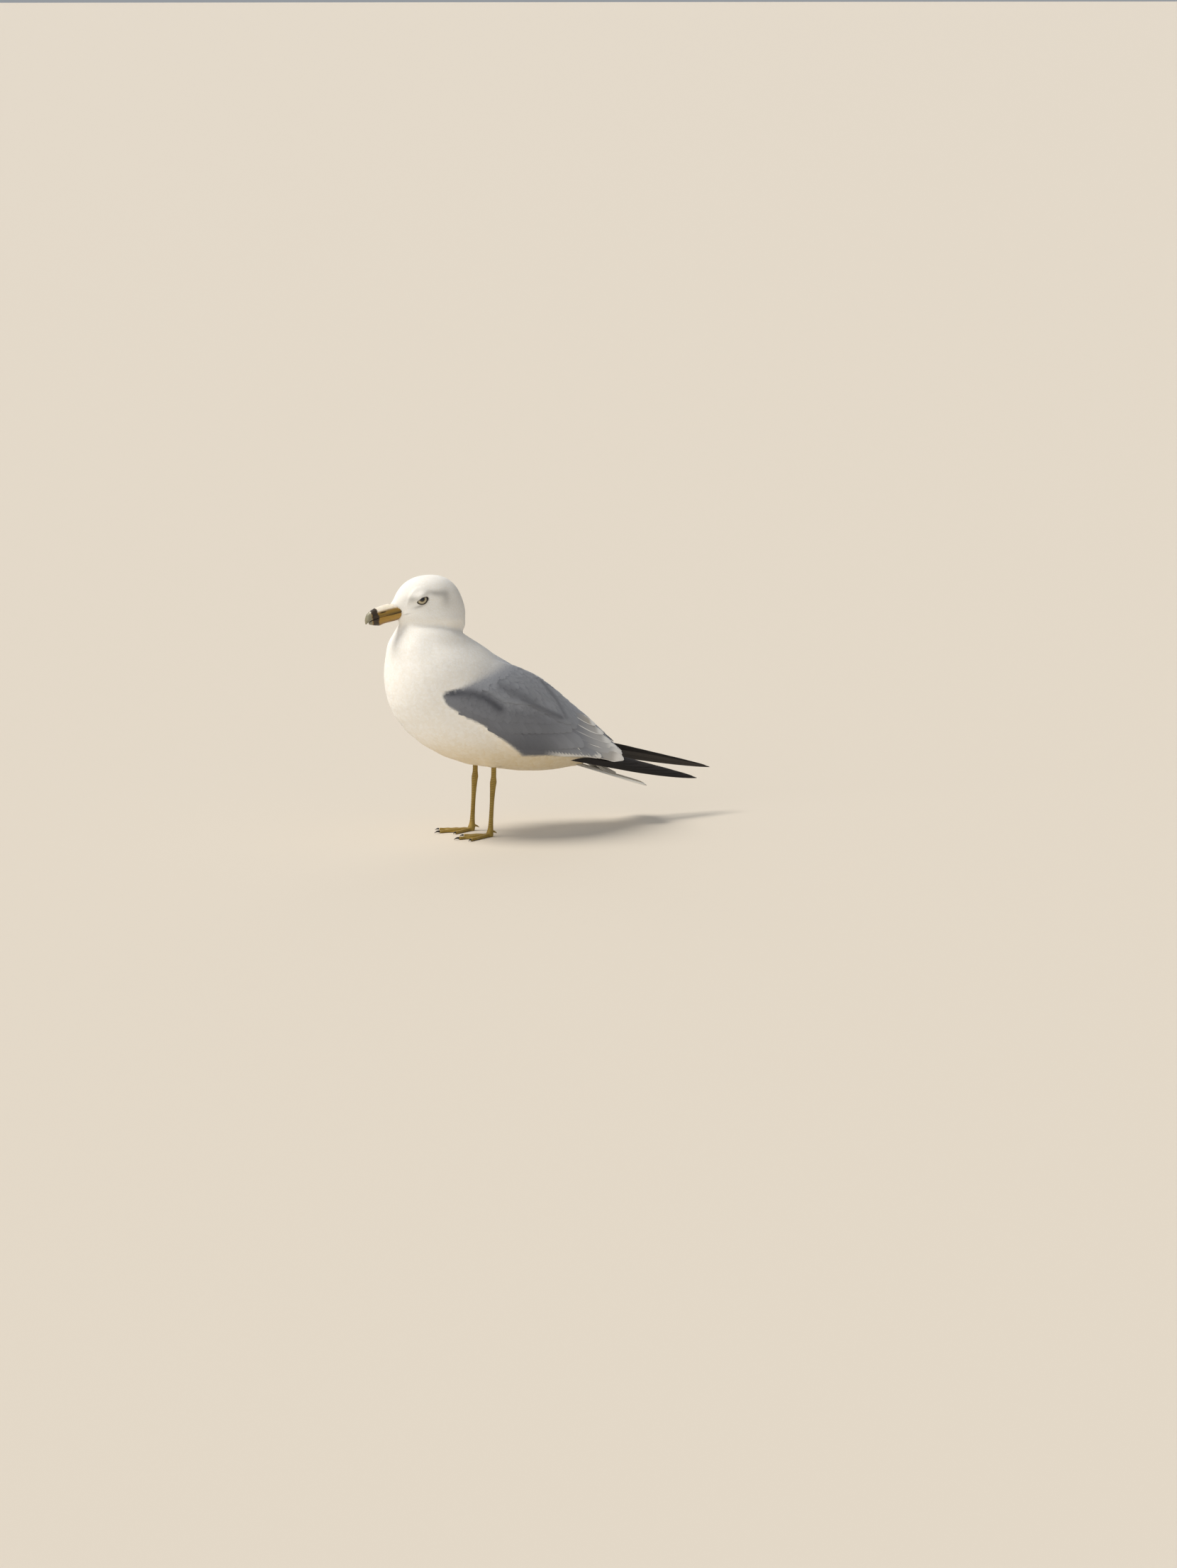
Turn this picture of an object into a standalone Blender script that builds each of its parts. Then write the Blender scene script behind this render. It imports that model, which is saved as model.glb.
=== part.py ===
"""A ring-billed gull standing with its wings folded, as a still, life-size model.

Units are metres and +Z is up. The bird faces -X, its left side faces -Y, and the
plane y = 0 halves it. Lengths in the tables are millimetres, counted from a point
on the floor under the bird's shoulders. At the end everything is moved together so
that the origin lies on the floor under the middle of the whole bird.
"""

import math

import bmesh
import bpy
from mathutils import Matrix, Vector

MM = 0.001
GAP = 0.3  # clear space between neighbouring pieces

# ---------------------------------------------------------------- driving sizes
BODY_SEGMENTS = 28
HEAD_RINGS = 10
NECK_RINGS = 4
TRUNK_RINGS = 15

# Where the one body form is parted, counted in the stations below.
HEAD_END = 7.6
NECK_END = 10.6

# The body from the crown to the root of the tail. Each station is a flat slice of the
# bird: its front or belly point (x, z), its back point (x, z), half its width, and how
# far it narrows towards the front (negative: towards the back).
BODY_STATIONS = (
    ((-59.1, 287.9), (-47.3, 288.4), 5.0, 0.00),
    ((-70.9, 285.4), (-35.5, 286.6), 13.0, 0.05),
    ((-81.6, 279.3), (-26.7, 281.6), 18.5, 0.10),
    ((-89, 271.3), (-19.8, 274.7), 21.8, 0.16),
    ((-92.9, 263.4), (-14.8, 265.5), 23.8, 0.20),
    ((-91.9, 252.7), (-10.9, 254.5), 25.2, 0.20),
    ((-88.6, 243), (-8.9, 243.8), 26.2, 0.16),
    ((-86.1, 234.8), (-8.6, 233), 27.5, 0.10),
    ((-88.6, 225.5), (-9.9, 224.6), 31.0, 0.04),
    ((-94.5, 213.6), (-4.5, 216.8), 37.0, 0.00),
    ((-99.4, 199.9), (3.5, 211.5), 43.5, 0.00),
    ((-101.4, 184.2), (12.4, 205.8), 49.0, 0.00),
    ((-100.5, 167.5), (22.9, 199.6), 52.3, 0.00),
    ((-96.7, 149.9), (33.9, 193.3), 54.2, 0.00),
    ((-87.4, 131.4), (45.9, 186.1), 55.2, 0.00),
    ((-71.3, 112.9), (58.9, 177.8), 55.2, 0.00),
    ((-45.7, 94.8), (73.1, 167.1), 54.0, -0.04),
    ((-13, 80.2), (87.2, 154.4), 51.5, -0.08),
    ((21, 73), (100.4, 140.6), 47.0, -0.12),
    ((56.1, 66.7), (112.6, 125.2), 40.5, -0.14),
    ((86.5, 64.8), (123.9, 110.8), 32.0, -0.12),
    ((105.7, 65.4), (132.1, 97.8), 23.5, -0.08),
    ((118.9, 66.5), (139.2, 86.8), 17.0, 0.00),
    ((128.1, 66.1), (143.4, 77.7), 12.5, 0.00),
)

# The folded arm of the left wing with its coverts, secondaries and tertials. Each
# station: lower edge (x, y, z), upper edge (x, y, z), outward bulge, thickness.
ARM_STATIONS = (
    ((-64.8, -39.3, 176.7), (-55, -37.3, 185.7), 1.0, 5.0),
    ((-60.8, -45.6, 164.8), (-41.3, -40.3, 190.7), 5.0, 8.0),
    ((-52, -50.5, 153.1), (-23.6, -40.8, 195.9), 8.0, 10.0),
    ((-35.4, -54.5, 140.5), (0, -36.5, 196.4), 10.5, 11.0),
    ((-11.8, -57.1, 128.5), (26.7, -32.7, 192.1), 12.0, 12.0),
    ((11.9, -56.3, 111.1), (51.7, -27.8, 182.8), 13.0, 12.0),
    ((36.7, -50.6, 93.2), (75.8, -20.9, 170.5), 13.0, 11.0),
    ((63.7, -44.8, 90), (97.1, -13, 156.1), 12, 10),
    ((89.8, -38.6, 87.4), (117.5, -6.5, 140.6), 10.5, 8.5),
    ((115.2, -32.1, 82.1), (135.9, -3.2, 126.4), 7, 6),
    ((139.7, -25.1, 75.9), (152.3, -2.6, 112.5), 4.0, 3.2),
    ((163.4, -18.7, 70.4), (168.8, -3.6, 96), 2.5, 2.4),
    ((185, -14.2, 68.3), (186.2, -9.1, 76.4), 0.8, 1.6),
)
ARM_RINGS = 20
ARM_ACROSS = 8

# The primaries of one wing: how much shorter each is than the longest, outermost one.
PRIMARY_STEPS = (0, 5, 19, 37, 56, 76)
PRIMARY_WIDTH = 13.0
PRIMARY_THICK = 1.1
PRIMARY_RISE = 1.5  # each lies this much higher and further in than the one below
PRIMARY_LAYER = 0.75
PRIMARY_ROOT = {"left": (98, -23.0, 84), "right": (98, 23.0, 93.5)}
PRIMARY_TIP = {"left": (279, -5.5, 41.5), "right": (302, 5.5, 50.5)}

# Tail feathers, as pairs from the middle outwards.
TAIL_PAIRS = 6
TAIL_ROOT = (118, 0, 74)
TAIL_LENGTH = 95
TAIL_SLOPE = 18.9
TAIL_FAN = 15.0
TAIL_FEATHER_WIDTH = 19.0
TAIL_THICK = 1.2
TAIL_LAYER = 0.55

# Bill: slope below the horizon, and slices along it. Each slice: distance ahead of the
# feathering, highest point, lowest point, half width.
BILL_BASE = (-96, 250.0)
BILL_SLOPE = 12.0
UPPER_BILL = (
    (-8, 10.3, 0.2, 9.2),
    (0, 10.6, 0.2, 8.0),
    (10, 10.6, 0.2, 6.7),
    (19, 10.0, 0.1, 5.7),
    (25, 8.6, -0.2, 4.9),
    (29, 6.2, -1.3, 3.9),
    (31.4, 2.8, -3.0, 2.7),
    (32.6, -0.8, -4.6, 1.2),
)
LOWER_BILL = (
    (-8, -0.2, -9.2, 8.6),
    (0, -0.2, -9.4, 7.5),
    (10, -0.2, -8.9, 6.1),
    (17, -0.3, -9.2, 5.2),
    (22, -0.7, -8.3, 4.3),
    (26, -1.8, -6.6, 3.0),
    (28.6, -3.2, -5.4, 1.6),
)
BILL_SEGMENTS = 12

EYE_RADIUS = 7.0
EYE_PLACE = (-68, 15.6, 264.2)

# Leg: slices of the bare shank from the thigh's feathers to the foot. Each: x, z, half
# depth fore and aft, half width.
LEG_Y = 22.0
SHANK = (
    (15.5, 75.7, 3.0, 2.7),
    (15.2, 66, 3.0, 2.7),
    (14.8, 60, 3.9, 3.4),
    (14.2, 54, 3.4, 3.0),
    (13.2, 40, 2.7, 2.15),
    (12.2, 24, 2.6, 2.1),
    (11.5, 13, 2.9, 2.5),
    (11.2, 8.3, 3.3, 3.1),
)
SHANK_SEGMENTS = 10
THIGH = (
    (4, 104, 25, 19),
    (7, 92, 21, 15.5),
    (11, 82, 12.5, 10),
    (15.5, 76, 5.6, 5.2),
)
THIGH_SEGMENTS = 16

# Toes: angle out from straight ahead, length, radius at the root and at the tip.
TOES = {
    "inner": (-25, 29, 2.3, 1.7),
    "middle": (2, 39, 2.5, 1.8),
    "outer": (27, 36, 2.3, 1.6),
}
TOE_HEIGHT = 1.75
TOE_KNUCKLES = {"inner": 2, "middle": 3, "outer": 4}
WEB_THICK = 1.0
WEB_HEIGHT = 0.5
WEB_REACH = 0.9
WEB_HOLLOW = 0.2
WEB_STEPS = 8
CLAW_LENGTH = {"inner": 4.5, "middle": 6.5, "outer": 4.5}

# Colours, as linear RGB, with roughness.
WHITE = ((0.80, 0.79, 0.76), 0.8)
GREY = ((0.27, 0.28, 0.31), 0.7)
BLACK = ((0.012, 0.010, 0.009), 0.6)
YELLOW = ((0.55, 0.36, 0.06), 0.4)
LEG_YELLOW = ((0.40, 0.29, 0.05), 0.5)
HORN = ((0.03, 0.025, 0.02), 0.35)
EYE = ((0.05, 0.04, 0.03), 0.1)


def clear_scene():
    for obj in list(bpy.data.objects):
        bpy.data.objects.remove(obj)


def collection(name):
    made = bpy.data.collections.new(name)
    bpy.context.scene.collection.children.link(made)
    return made


def material(name, finish):
    colour, roughness = finish
    made = bpy.data.materials.new(name)
    made.use_nodes = True
    shader = made.node_tree.nodes["Principled BSDF"]
    shader.inputs["Base Color"].default_value = (*colour, 1)
    shader.inputs["Roughness"].default_value = roughness
    shader.inputs["Metallic"].default_value = 0.0
    return made


def add_object(name, mesh, group, finish=None):
    obj = bpy.data.objects.new(name, mesh)
    group.objects.link(obj)
    if finish:
        mesh.materials.clear()
        mesh.materials.append(material(name, finish))
    mesh.shade_smooth()
    mesh.set_sharp_from_angle(angle=math.radians(40))
    return obj


def hide_as_cutter(obj):
    obj.hide_render = True
    obj.display_type = "WIRE"
    return obj


def curve_at(values, place):
    """A smooth curve through rows of numbers, read at a place counted in rows."""
    last = len(values) - 1
    place = min(max(place, 0.0), float(last))
    i = min(int(place), last - 1)
    t = place - i
    a, b, c, d = (values[min(max(k, 0), last)] for k in (i - 1, i, i + 1, i + 2))
    return [
        0.5 * (2 * q + (r - p) * t + (2 * p - 5 * q + 4 * r - s) * t * t + (3 * q - p - 3 * r + s) * t**3)
        for p, q, r, s in zip(a, b, c, d)
    ]


def loft(rings, close_ends=True):
    """A mesh through rings of points, with a flat face on each end."""
    bm = bmesh.new()
    loops = [[bm.verts.new(Vector(p) * MM) for p in ring] for ring in rings]
    count = len(rings[0])
    for first, second in zip(loops, loops[1:]):
        for k in range(count):
            n = (k + 1) % count
            bm.faces.new((first[k], first[n], second[n], second[k]))
    if close_ends:
        bm.faces.new(loops[0][::-1])
        bm.faces.new(loops[-1])
    bmesh.ops.recalc_face_normals(bm, faces=bm.faces)
    mesh = bpy.data.meshes.new("loft")
    bm.to_mesh(mesh)
    bm.free()
    return mesh


# ---------------------------------------------------------------- body
def body_ring(place):
    """One flat slice of the body form."""
    rows = [(*front, *back, width, egg) for front, back, width, egg in BODY_STATIONS]
    fx, fz, bx, bz, width, egg = curve_at(rows, place)
    middle = Vector(((fx + bx) / 2, 0, (fz + bz) / 2))
    half = Vector(((fx - bx) / 2, 0, (fz - bz) / 2))
    ring = []
    for k in range(BODY_SEGMENTS):
        turn = 2 * math.pi * k / BODY_SEGMENTS
        along, across = math.cos(turn), math.sin(turn)
        ring.append(middle + half * along + Vector((0, width * across * (1 - egg * along), 0)))
    return ring


def body_rings(start, end, count):
    return [body_ring(start + (end - start) * k / count) for k in range(count + 1)]


def grown(mesh, by):
    """A copy of a closed mesh, swollen along its normals."""
    bm = bmesh.new()
    bm.from_mesh(mesh)
    bm.normal_update()
    moves = [(v, v.normal.copy()) for v in bm.verts]
    for v, normal in moves:
        v.co += normal * by * MM
    made = bpy.data.meshes.new(mesh.name + "_grown")
    bm.to_mesh(made)
    bm.free()
    return made


def boolean(obj, other, operation):
    """Applies a Boolean to obj's own mesh."""
    modifier = obj.modifiers.new(operation.lower(), "BOOLEAN")
    modifier.operation = operation
    modifier.object = other
    modifier.solver = "EXACT"
    graph = bpy.context.evaluated_depsgraph_get()
    mesh = bpy.data.meshes.new_from_object(obj.evaluated_get(graph), depsgraph=graph)
    obj.modifiers.clear()
    obj.data = mesh


def block_mesh(middle, size):
    bm = bmesh.new()
    bmesh.ops.create_cube(bm, size=MM)
    bmesh.ops.scale(bm, vec=Vector(size), verts=bm.verts)
    bmesh.ops.translate(bm, vec=Vector(middle) * MM, verts=bm.verts)
    mesh = bpy.data.meshes.new("block")
    bm.to_mesh(mesh)
    bm.free()
    return mesh


def drop_offcuts(obj):
    """Keeps only the largest connected body of an object's mesh."""
    bm = bmesh.new()
    bm.from_mesh(obj.data)
    left = set(bm.verts)
    bodies = []
    while left:
        body, edge = set(), [next(iter(left))]
        while edge:
            v = edge.pop()
            if v in body:
                continue
            body.add(v)
            edge.extend(e.other_vert(v) for e in v.link_edges)
        left -= body
        bodies.append(body)
    bodies.sort(key=len)
    for body in bodies[:-1]:
        bmesh.ops.delete(bm, geom=list(body), context="VERTS")
    bm.to_mesh(obj.data)
    bm.free()


def join_shapes(name, meshes, group, finish):
    """One solid from several overlapping closed meshes."""
    obj = add_object(name, meshes[0], group, finish)
    for k, mesh in enumerate(meshes[1:]):
        tool = add_object(f"{name}_joined_{k}", mesh, group)
        boolean(obj, tool, "UNION")
        bpy.data.objects.remove(tool)
    obj.data.materials.clear()
    obj.data.materials.append(material(name, finish))
    obj.data.polygons.foreach_set("material_index", [0] * len(obj.data.polygons))
    return obj


# ---------------------------------------------------------------- bill and eyes
def bill_mesh(slices, upper, swell=0.0):
    """Half-round slices down the bill: the upper ones arch up, the lower ones down."""
    slope = math.radians(BILL_SLOPE)
    ahead = Vector((-math.cos(slope), 0, -math.sin(slope)))
    up = Vector((-math.sin(slope), 0, math.cos(slope)))
    base = Vector((BILL_BASE[0], 0, BILL_BASE[1]))
    rings = []
    for reach, high, low, width in slices:
        flat, round_side = (low, high) if upper else (high, low)
        ring = []
        for k in range(BILL_SEGMENTS):
            turn = math.pi * k / (BILL_SEGMENTS - 1)
            across = math.cos(turn) * (width + swell)
            rise = flat + (round_side - flat) * max(math.sin(turn), 0) ** 0.8
            rise += swell if (rise > 0) == upper and k not in (0, BILL_SEGMENTS - 1) else 0
            ring.append(base + ahead * reach + up * rise + Vector((0, across, 0)))
        rings.append(ring)
    return loft(rings)


def bill_socket():
    """The cutter that makes room for the bill's root in the head."""
    slope = math.radians(BILL_SLOPE)
    back, front = UPPER_BILL[0], UPPER_BILL[2]
    rings = []
    for reach, scale in ((back[0] - GAP, 1.0), (front[0] + 20, 0.62)):
        ring = []
        for k in range(BODY_SEGMENTS):
            turn = 2 * math.pi * k / BODY_SEGMENTS
            high = math.sin(turn) * ((back[1] + GAP) if math.sin(turn) > 0 else (-LOWER_BILL[0][2] + GAP))
            across = math.cos(turn) * (back[3] + GAP)
            spread = 1.06 * scale
            ring.append(
                Vector((BILL_BASE[0], 0, BILL_BASE[1]))
                + Vector((-math.cos(slope), 0, -math.sin(slope))) * reach
                + Vector((-math.sin(slope), 0, math.cos(slope))) * high * spread
                + Vector((0, across * spread, 0))
            )
        rings.append(ring)
    return loft(rings)


def eye_mesh(side, radius):
    bm = bmesh.new()
    bmesh.ops.create_uvsphere(bm, u_segments=16, v_segments=10, radius=radius * MM)
    x, y, z = EYE_PLACE
    turn = Matrix.Rotation(math.radians(90), 4, "X")
    place = Matrix.Translation(Vector((x, side * y, z)) * MM)
    bmesh.ops.transform(bm, matrix=place @ turn, verts=bm.verts)
    mesh = bpy.data.meshes.new("eye")
    bm.to_mesh(mesh)
    bm.free()
    return mesh


# ---------------------------------------------------------------- wings and tail
def arm_ring(place, side, swell=0.0):
    """A thick, outward-bowed slice of the folded wing, from its lower to its upper edge."""
    rows = [(*low, *high, bulge, thick) for low, high, bulge, thick in ARM_STATIONS]
    row = curve_at(rows, place)
    low, high = Vector(row[0:3]), Vector(row[3:6])
    bulge, thick = row[6], row[7]
    across = high - low
    out = across.cross(Vector((0.8, 0, -0.6))).normalized()
    if out.y > 0:
        out = -out
    edge = across.normalized() * swell
    outer, inner = [], []
    for k in range(ARM_ACROSS + 1):
        t = k / ARM_ACROSS
        bow = max(math.sin(math.pi * t), 0) ** 0.8
        rim = 0.45 + 0.55 * bow
        middle = low - edge + (across + edge * 2) * t + out * bulge * bow
        outer.append(middle + out * swell)
        inner.append(middle - out * (thick * rim + swell))
    ring = outer + inner[::-1]
    return [Vector((p.x, -side * p.y, p.z)) for p in ring]


def arm_mesh(side, swell=0.0):
    last = len(ARM_STATIONS) - 1
    return loft([arm_ring(last * k / ARM_RINGS, side, swell) for k in range(ARM_RINGS + 1)])


def blade(length, width, thick, tip_share, steps=7):
    """A flat feather along +X from its root, its face up, rounded to a point at its tip."""
    rim = []
    for k in range(steps + 1):
        t = k / steps
        start = 1 - tip_share
        if t < start:
            half = 0.55 + 0.45 * math.sin(t / start * math.pi / 2)
        else:
            half = max(math.cos((t - start) / tip_share * math.pi / 2), 0) ** 0.7
        rim.append((length * t, width / 2 * max(half, 0.02)))
    outline = [(x, -y) for x, y in rim] + [(x, y) for x, y in rim[::-1]]
    return [
        [Vector((x, y, -thick / 2)) for x, y in outline],
        [Vector((x, y, thick / 2)) for x, y in outline],
    ]


def placed(rings, root, ahead, face):
    """Rings moved so that +X runs along ahead and +Z along face."""
    x_axis = Vector(ahead).normalized()
    y_axis = Vector(face).cross(x_axis).normalized()
    z_axis = x_axis.cross(y_axis)
    turn = Matrix((x_axis, y_axis, z_axis)).transposed()
    return [[Vector(root) + turn @ p for p in ring] for ring in rings]


def primary_meshes(side_name):
    """The stacked primaries of one wing, the longest lowest and nearest the body."""
    root, tip = Vector(PRIMARY_ROOT[side_name]), Vector(PRIMARY_TIP[side_name])
    outward = -1 if side_name == "left" else 1
    ahead = (tip - root).normalized()
    face = Vector((0.12, outward * 0.72, 0.68))
    face = (face - ahead * face.dot(ahead)).normalized()
    inward = ahead.cross(face) * (1 if side_name == "left" else -1)
    if inward.z < 0:
        inward = -inward
    meshes = []
    for k, shorter in enumerate(PRIMARY_STEPS):
        length = (tip - root).length - shorter
        at = root + face * PRIMARY_LAYER * k + inward * PRIMARY_RISE * k - ahead * 0.7 * k
        shape = blade(length, PRIMARY_WIDTH + 0.23 * k, PRIMARY_THICK, 0.34)
        meshes.append(loft(placed(shape, at, ahead, face)))
    return meshes


def tail_meshes():
    """The fanned tail feathers, the middle pair on top."""
    slope = math.radians(TAIL_SLOPE)
    meshes = []
    for k in range(TAIL_PAIRS):
        for side in (-1, 1):
            turn = math.radians(side * TAIL_FAN * (k + 0.5) / TAIL_PAIRS)
            ahead = Vector(
                (math.cos(turn) * math.cos(slope), math.sin(turn), -math.cos(turn) * math.sin(slope))
            )
            face = Vector((math.sin(slope), -math.sin(turn) * -0.25, math.cos(slope)))
            root = Vector(TAIL_ROOT) + Vector((0, side * (0.4 + 0.9 * k), -TAIL_LAYER * k - 0.12 * k * k))
            if side > 0:
                root.z += TAIL_LAYER * 0.4
            shape = blade(TAIL_LENGTH - 0.5 * k, TAIL_FEATHER_WIDTH, TAIL_THICK, 0.14)
            meshes.append(loft(placed(shape, root, ahead, face)))
    return meshes


# ---------------------------------------------------------------- legs and feet
def column(slices, segments, y):
    """A round-sectioned column through level slices."""
    steps = 2 * (len(slices) - 1)
    rings = []
    for k in range(steps + 1):
        x, z, depth, width = curve_at(slices, k / 2)
        rings.append(
            [
                (
                    x + depth * math.cos(2 * math.pi * n / segments),
                    y + width * math.sin(2 * math.pi * n / segments),
                    z,
                )
                for n in range(segments)
            ]
        )
    return loft(rings)


def toe_direction(toe, side):
    angle = math.radians(TOES[toe][0])
    return Vector((-math.cos(angle), side * math.sin(angle), 0))


def toe_mesh(toe, side):
    """A knuckled toe, a little below the floor where its pads are cut flat."""
    _, length, thick, thin = TOES[toe]
    ahead = toe_direction(toe, side)
    across = Vector((-ahead.y, ahead.x, 0))
    heel = Vector((SHANK[-1][0], side * LEG_Y, 0))
    knuckles = TOE_KNUCKLES[toe]
    steps, segments = 2 * knuckles, 8
    rings = []
    for k in range(steps + 1):
        t = k / steps
        radius = thick + (thin - thick) * t
        radius *= 1 + 0.1 * math.cos(2 * math.pi * knuckles * t)
        middle = heel + ahead * length * t + Vector((0, 0, TOE_HEIGHT))
        ring = []
        for n in range(segments):
            turn = 2 * math.pi * (n + 0.5) / segments
            ring.append(middle + across * radius * math.cos(turn) + Vector((0, 0, radius * math.sin(turn))))
        rings.append(ring)
    return loft(rings)


def web_mesh(side):
    """The webs between the three toes, each with a hollow front edge."""
    heel = Vector((SHANK[-1][0], side * LEG_Y, 0))
    corners = [heel + toe_direction(toe, side) * TOES[toe][1] * WEB_REACH for toe in TOES]
    outline = [heel]
    for first, second in zip(corners, corners[1:]):
        for k in range(WEB_STEPS):
            t = k / WEB_STEPS
            point = first.lerp(second, t)
            outline.append(heel + (point - heel) * (1 - WEB_HOLLOW * math.sin(math.pi * t)))
    outline.append(corners[-1])
    rings = [
        [p + Vector((0, 0, WEB_HEIGHT)) for p in outline],
        [p + Vector((0, 0, WEB_HEIGHT + WEB_THICK)) for p in outline],
    ]
    return loft(rings)


def ankle_mesh(side):
    """The joint where the toes meet the shank."""
    x = SHANK[-1][0]
    slices = (
        (x, 8.0, 3.3, 3.1),
        (x - 0.6, 5.5, 3.8, 3.5),
        (x - 1.2, 2.6, 4.4, 4.0),
        (x - 1.2, -1.0, 3.6, 3.4),
    )
    return column(slices, 16, side * LEG_Y)


def hind_toe_mesh(side):
    """The small raised hind toe with its claw."""
    x = SHANK[-1][0]
    rings = []
    for reach, drop, radius in ((1, 0, 1.5), (4, 0.6, 1.35), (6.5, 1.6, 1.0), (8.6, 3.0, 0.3)):
        middle = Vector((x + reach, side * (LEG_Y - 0.8), 6.0 - drop))
        rings.append(
            [
                middle
                + Vector((0, radius * math.cos(2 * math.pi * n / 8), radius * math.sin(2 * math.pi * n / 8)))
                for n in range(8)
            ]
        )
    return loft(rings)


def claw_mesh(toe, side):
    """A small down-curved claw just ahead of its toe."""
    _, length, _, thin = TOES[toe]
    ahead = toe_direction(toe, side)
    across = Vector((-ahead.y, ahead.x, 0))
    start = Vector((SHANK[-1][0], side * LEG_Y, TOE_HEIGHT + 0.2)) + ahead * (length + GAP)
    rings = []
    for k in range(6):
        t = k / 5
        radius = (thin * 0.72) * (1 - t) ** 0.7 + 0.12
        curl = 0.5 * math.sin(math.pi * t) - 1.3 * t * t
        middle = start + ahead * CLAW_LENGTH[toe] * t + Vector((0, 0, curl))
        rings.append(
            [
                middle
                + across * radius * 0.8 * math.cos(2 * math.pi * n / 8)
                + Vector((0, 0, radius * math.sin(2 * math.pi * n / 8)))
                for n in range(8)
            ]
        )
    return loft(rings)


# ---------------------------------------------------------------- the whole bird
def build_body(parts, cutters):
    last = len(BODY_STATIONS) - 1
    shave = 0.012  # about half the gap, as a share of a station
    head_rings = body_rings(0, HEAD_END - shave, HEAD_RINGS)
    neck_rings = body_rings(HEAD_END + shave, NECK_END - shave, NECK_RINGS)
    trunk_rings = body_rings(NECK_END + shave, last, TRUNK_RINGS)
    head = add_object("head", loft(head_rings), parts, WHITE)
    add_object("neck", loft(neck_rings), parts, WHITE)
    add_object("trunk", loft(trunk_rings), parts, WHITE)
    whole = loft(head_rings + neck_rings + trunk_rings)
    return head, hide_as_cutter(add_object("body_room", grown(whole, GAP), cutters))


def build_head(head, parts, cutters):
    add_object("bill_upper", bill_mesh(UPPER_BILL, True), parts, YELLOW)
    add_object("bill_lower", bill_mesh(LOWER_BILL, False), parts, YELLOW)
    boolean(head, hide_as_cutter(add_object("bill_room", bill_socket(), cutters)), "DIFFERENCE")
    for side, name in ((-1, "left"), (1, "right")):
        add_object(f"eye_{name}", eye_mesh(side, EYE_RADIUS), parts, EYE)
        room = add_object(f"eye_room_{name}", eye_mesh(side, EYE_RADIUS + GAP), cutters)
        boolean(head, hide_as_cutter(room), "DIFFERENCE")


def build_wings(parts, cutters, body_room, tail_room):
    for side, name in ((-1, "left"), (1, "right")):
        arm = add_object(f"wing_{name}", arm_mesh(side), parts, GREY)
        boolean(arm, body_room, "DIFFERENCE")
        drop_offcuts(arm)
        arm_room = hide_as_cutter(add_object(f"arm_room_{name}", arm_mesh(side, GAP), cutters))
        hand = join_shapes(f"primaries_{name}", primary_meshes(name), parts, BLACK)
        for room in (body_room, arm_room, tail_room):
            boolean(hand, room, "DIFFERENCE")
        drop_offcuts(hand)


def build_legs(parts, cutters, body_room):
    ground = hide_as_cutter(add_object("below_the_floor", block_mesh((0, 0, -10), (200, 200, 20)), cutters))
    for side, name in ((-1, "left"), (1, "right")):
        thigh = add_object(f"thigh_{name}", column(THIGH, THIGH_SEGMENTS, side * LEG_Y), parts, WHITE)
        boolean(thigh, body_room, "DIFFERENCE")
        drop_offcuts(thigh)
        add_object(f"shank_{name}", column(SHANK, SHANK_SEGMENTS, side * LEG_Y), parts, LEG_YELLOW)
        shapes = [ankle_mesh(side), web_mesh(side), hind_toe_mesh(side)]
        shapes += [toe_mesh(toe, side) for toe in TOES]
        foot = join_shapes(f"foot_{name}", shapes, parts, LEG_YELLOW)
        boolean(foot, ground, "DIFFERENCE")
        for toe in TOES:
            add_object(f"claw_{name}_{toe}", claw_mesh(toe, side), parts, HORN)


def move_to_origin(parts, cutters):
    """Puts the origin on the floor under the middle of the bird."""
    bpy.context.view_layer.update()
    corners = [obj.matrix_world @ Vector(c) for obj in parts.objects for c in obj.bound_box]
    low = Vector(min(c[k] for c in corners) for k in range(3))
    high = Vector(max(c[k] for c in corners) for k in range(3))
    middle = (low + high) / 2
    for obj in list(parts.objects) + list(cutters.objects):
        obj.location -= Vector((middle.x, middle.y, low.z))


def main():
    clear_scene()
    parts, cutters = collection("gull"), collection("cutters")
    head, body_room = build_body(parts, cutters)
    build_head(head, parts, cutters)
    tail = join_shapes("tail", tail_meshes(), parts, WHITE)
    boolean(tail, body_room, "DIFFERENCE")
    drop_offcuts(tail)
    tail_room = hide_as_cutter(add_object("tail_room", grown(tail.data, GAP), cutters))
    build_wings(parts, cutters, body_room, tail_room)
    build_legs(parts, cutters, body_room)
    move_to_origin(parts, cutters)


main()
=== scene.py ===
import math

import bmesh
import bpy
import numpy as np
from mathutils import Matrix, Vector
from mathutils.bvhtree import BVHTree


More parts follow.
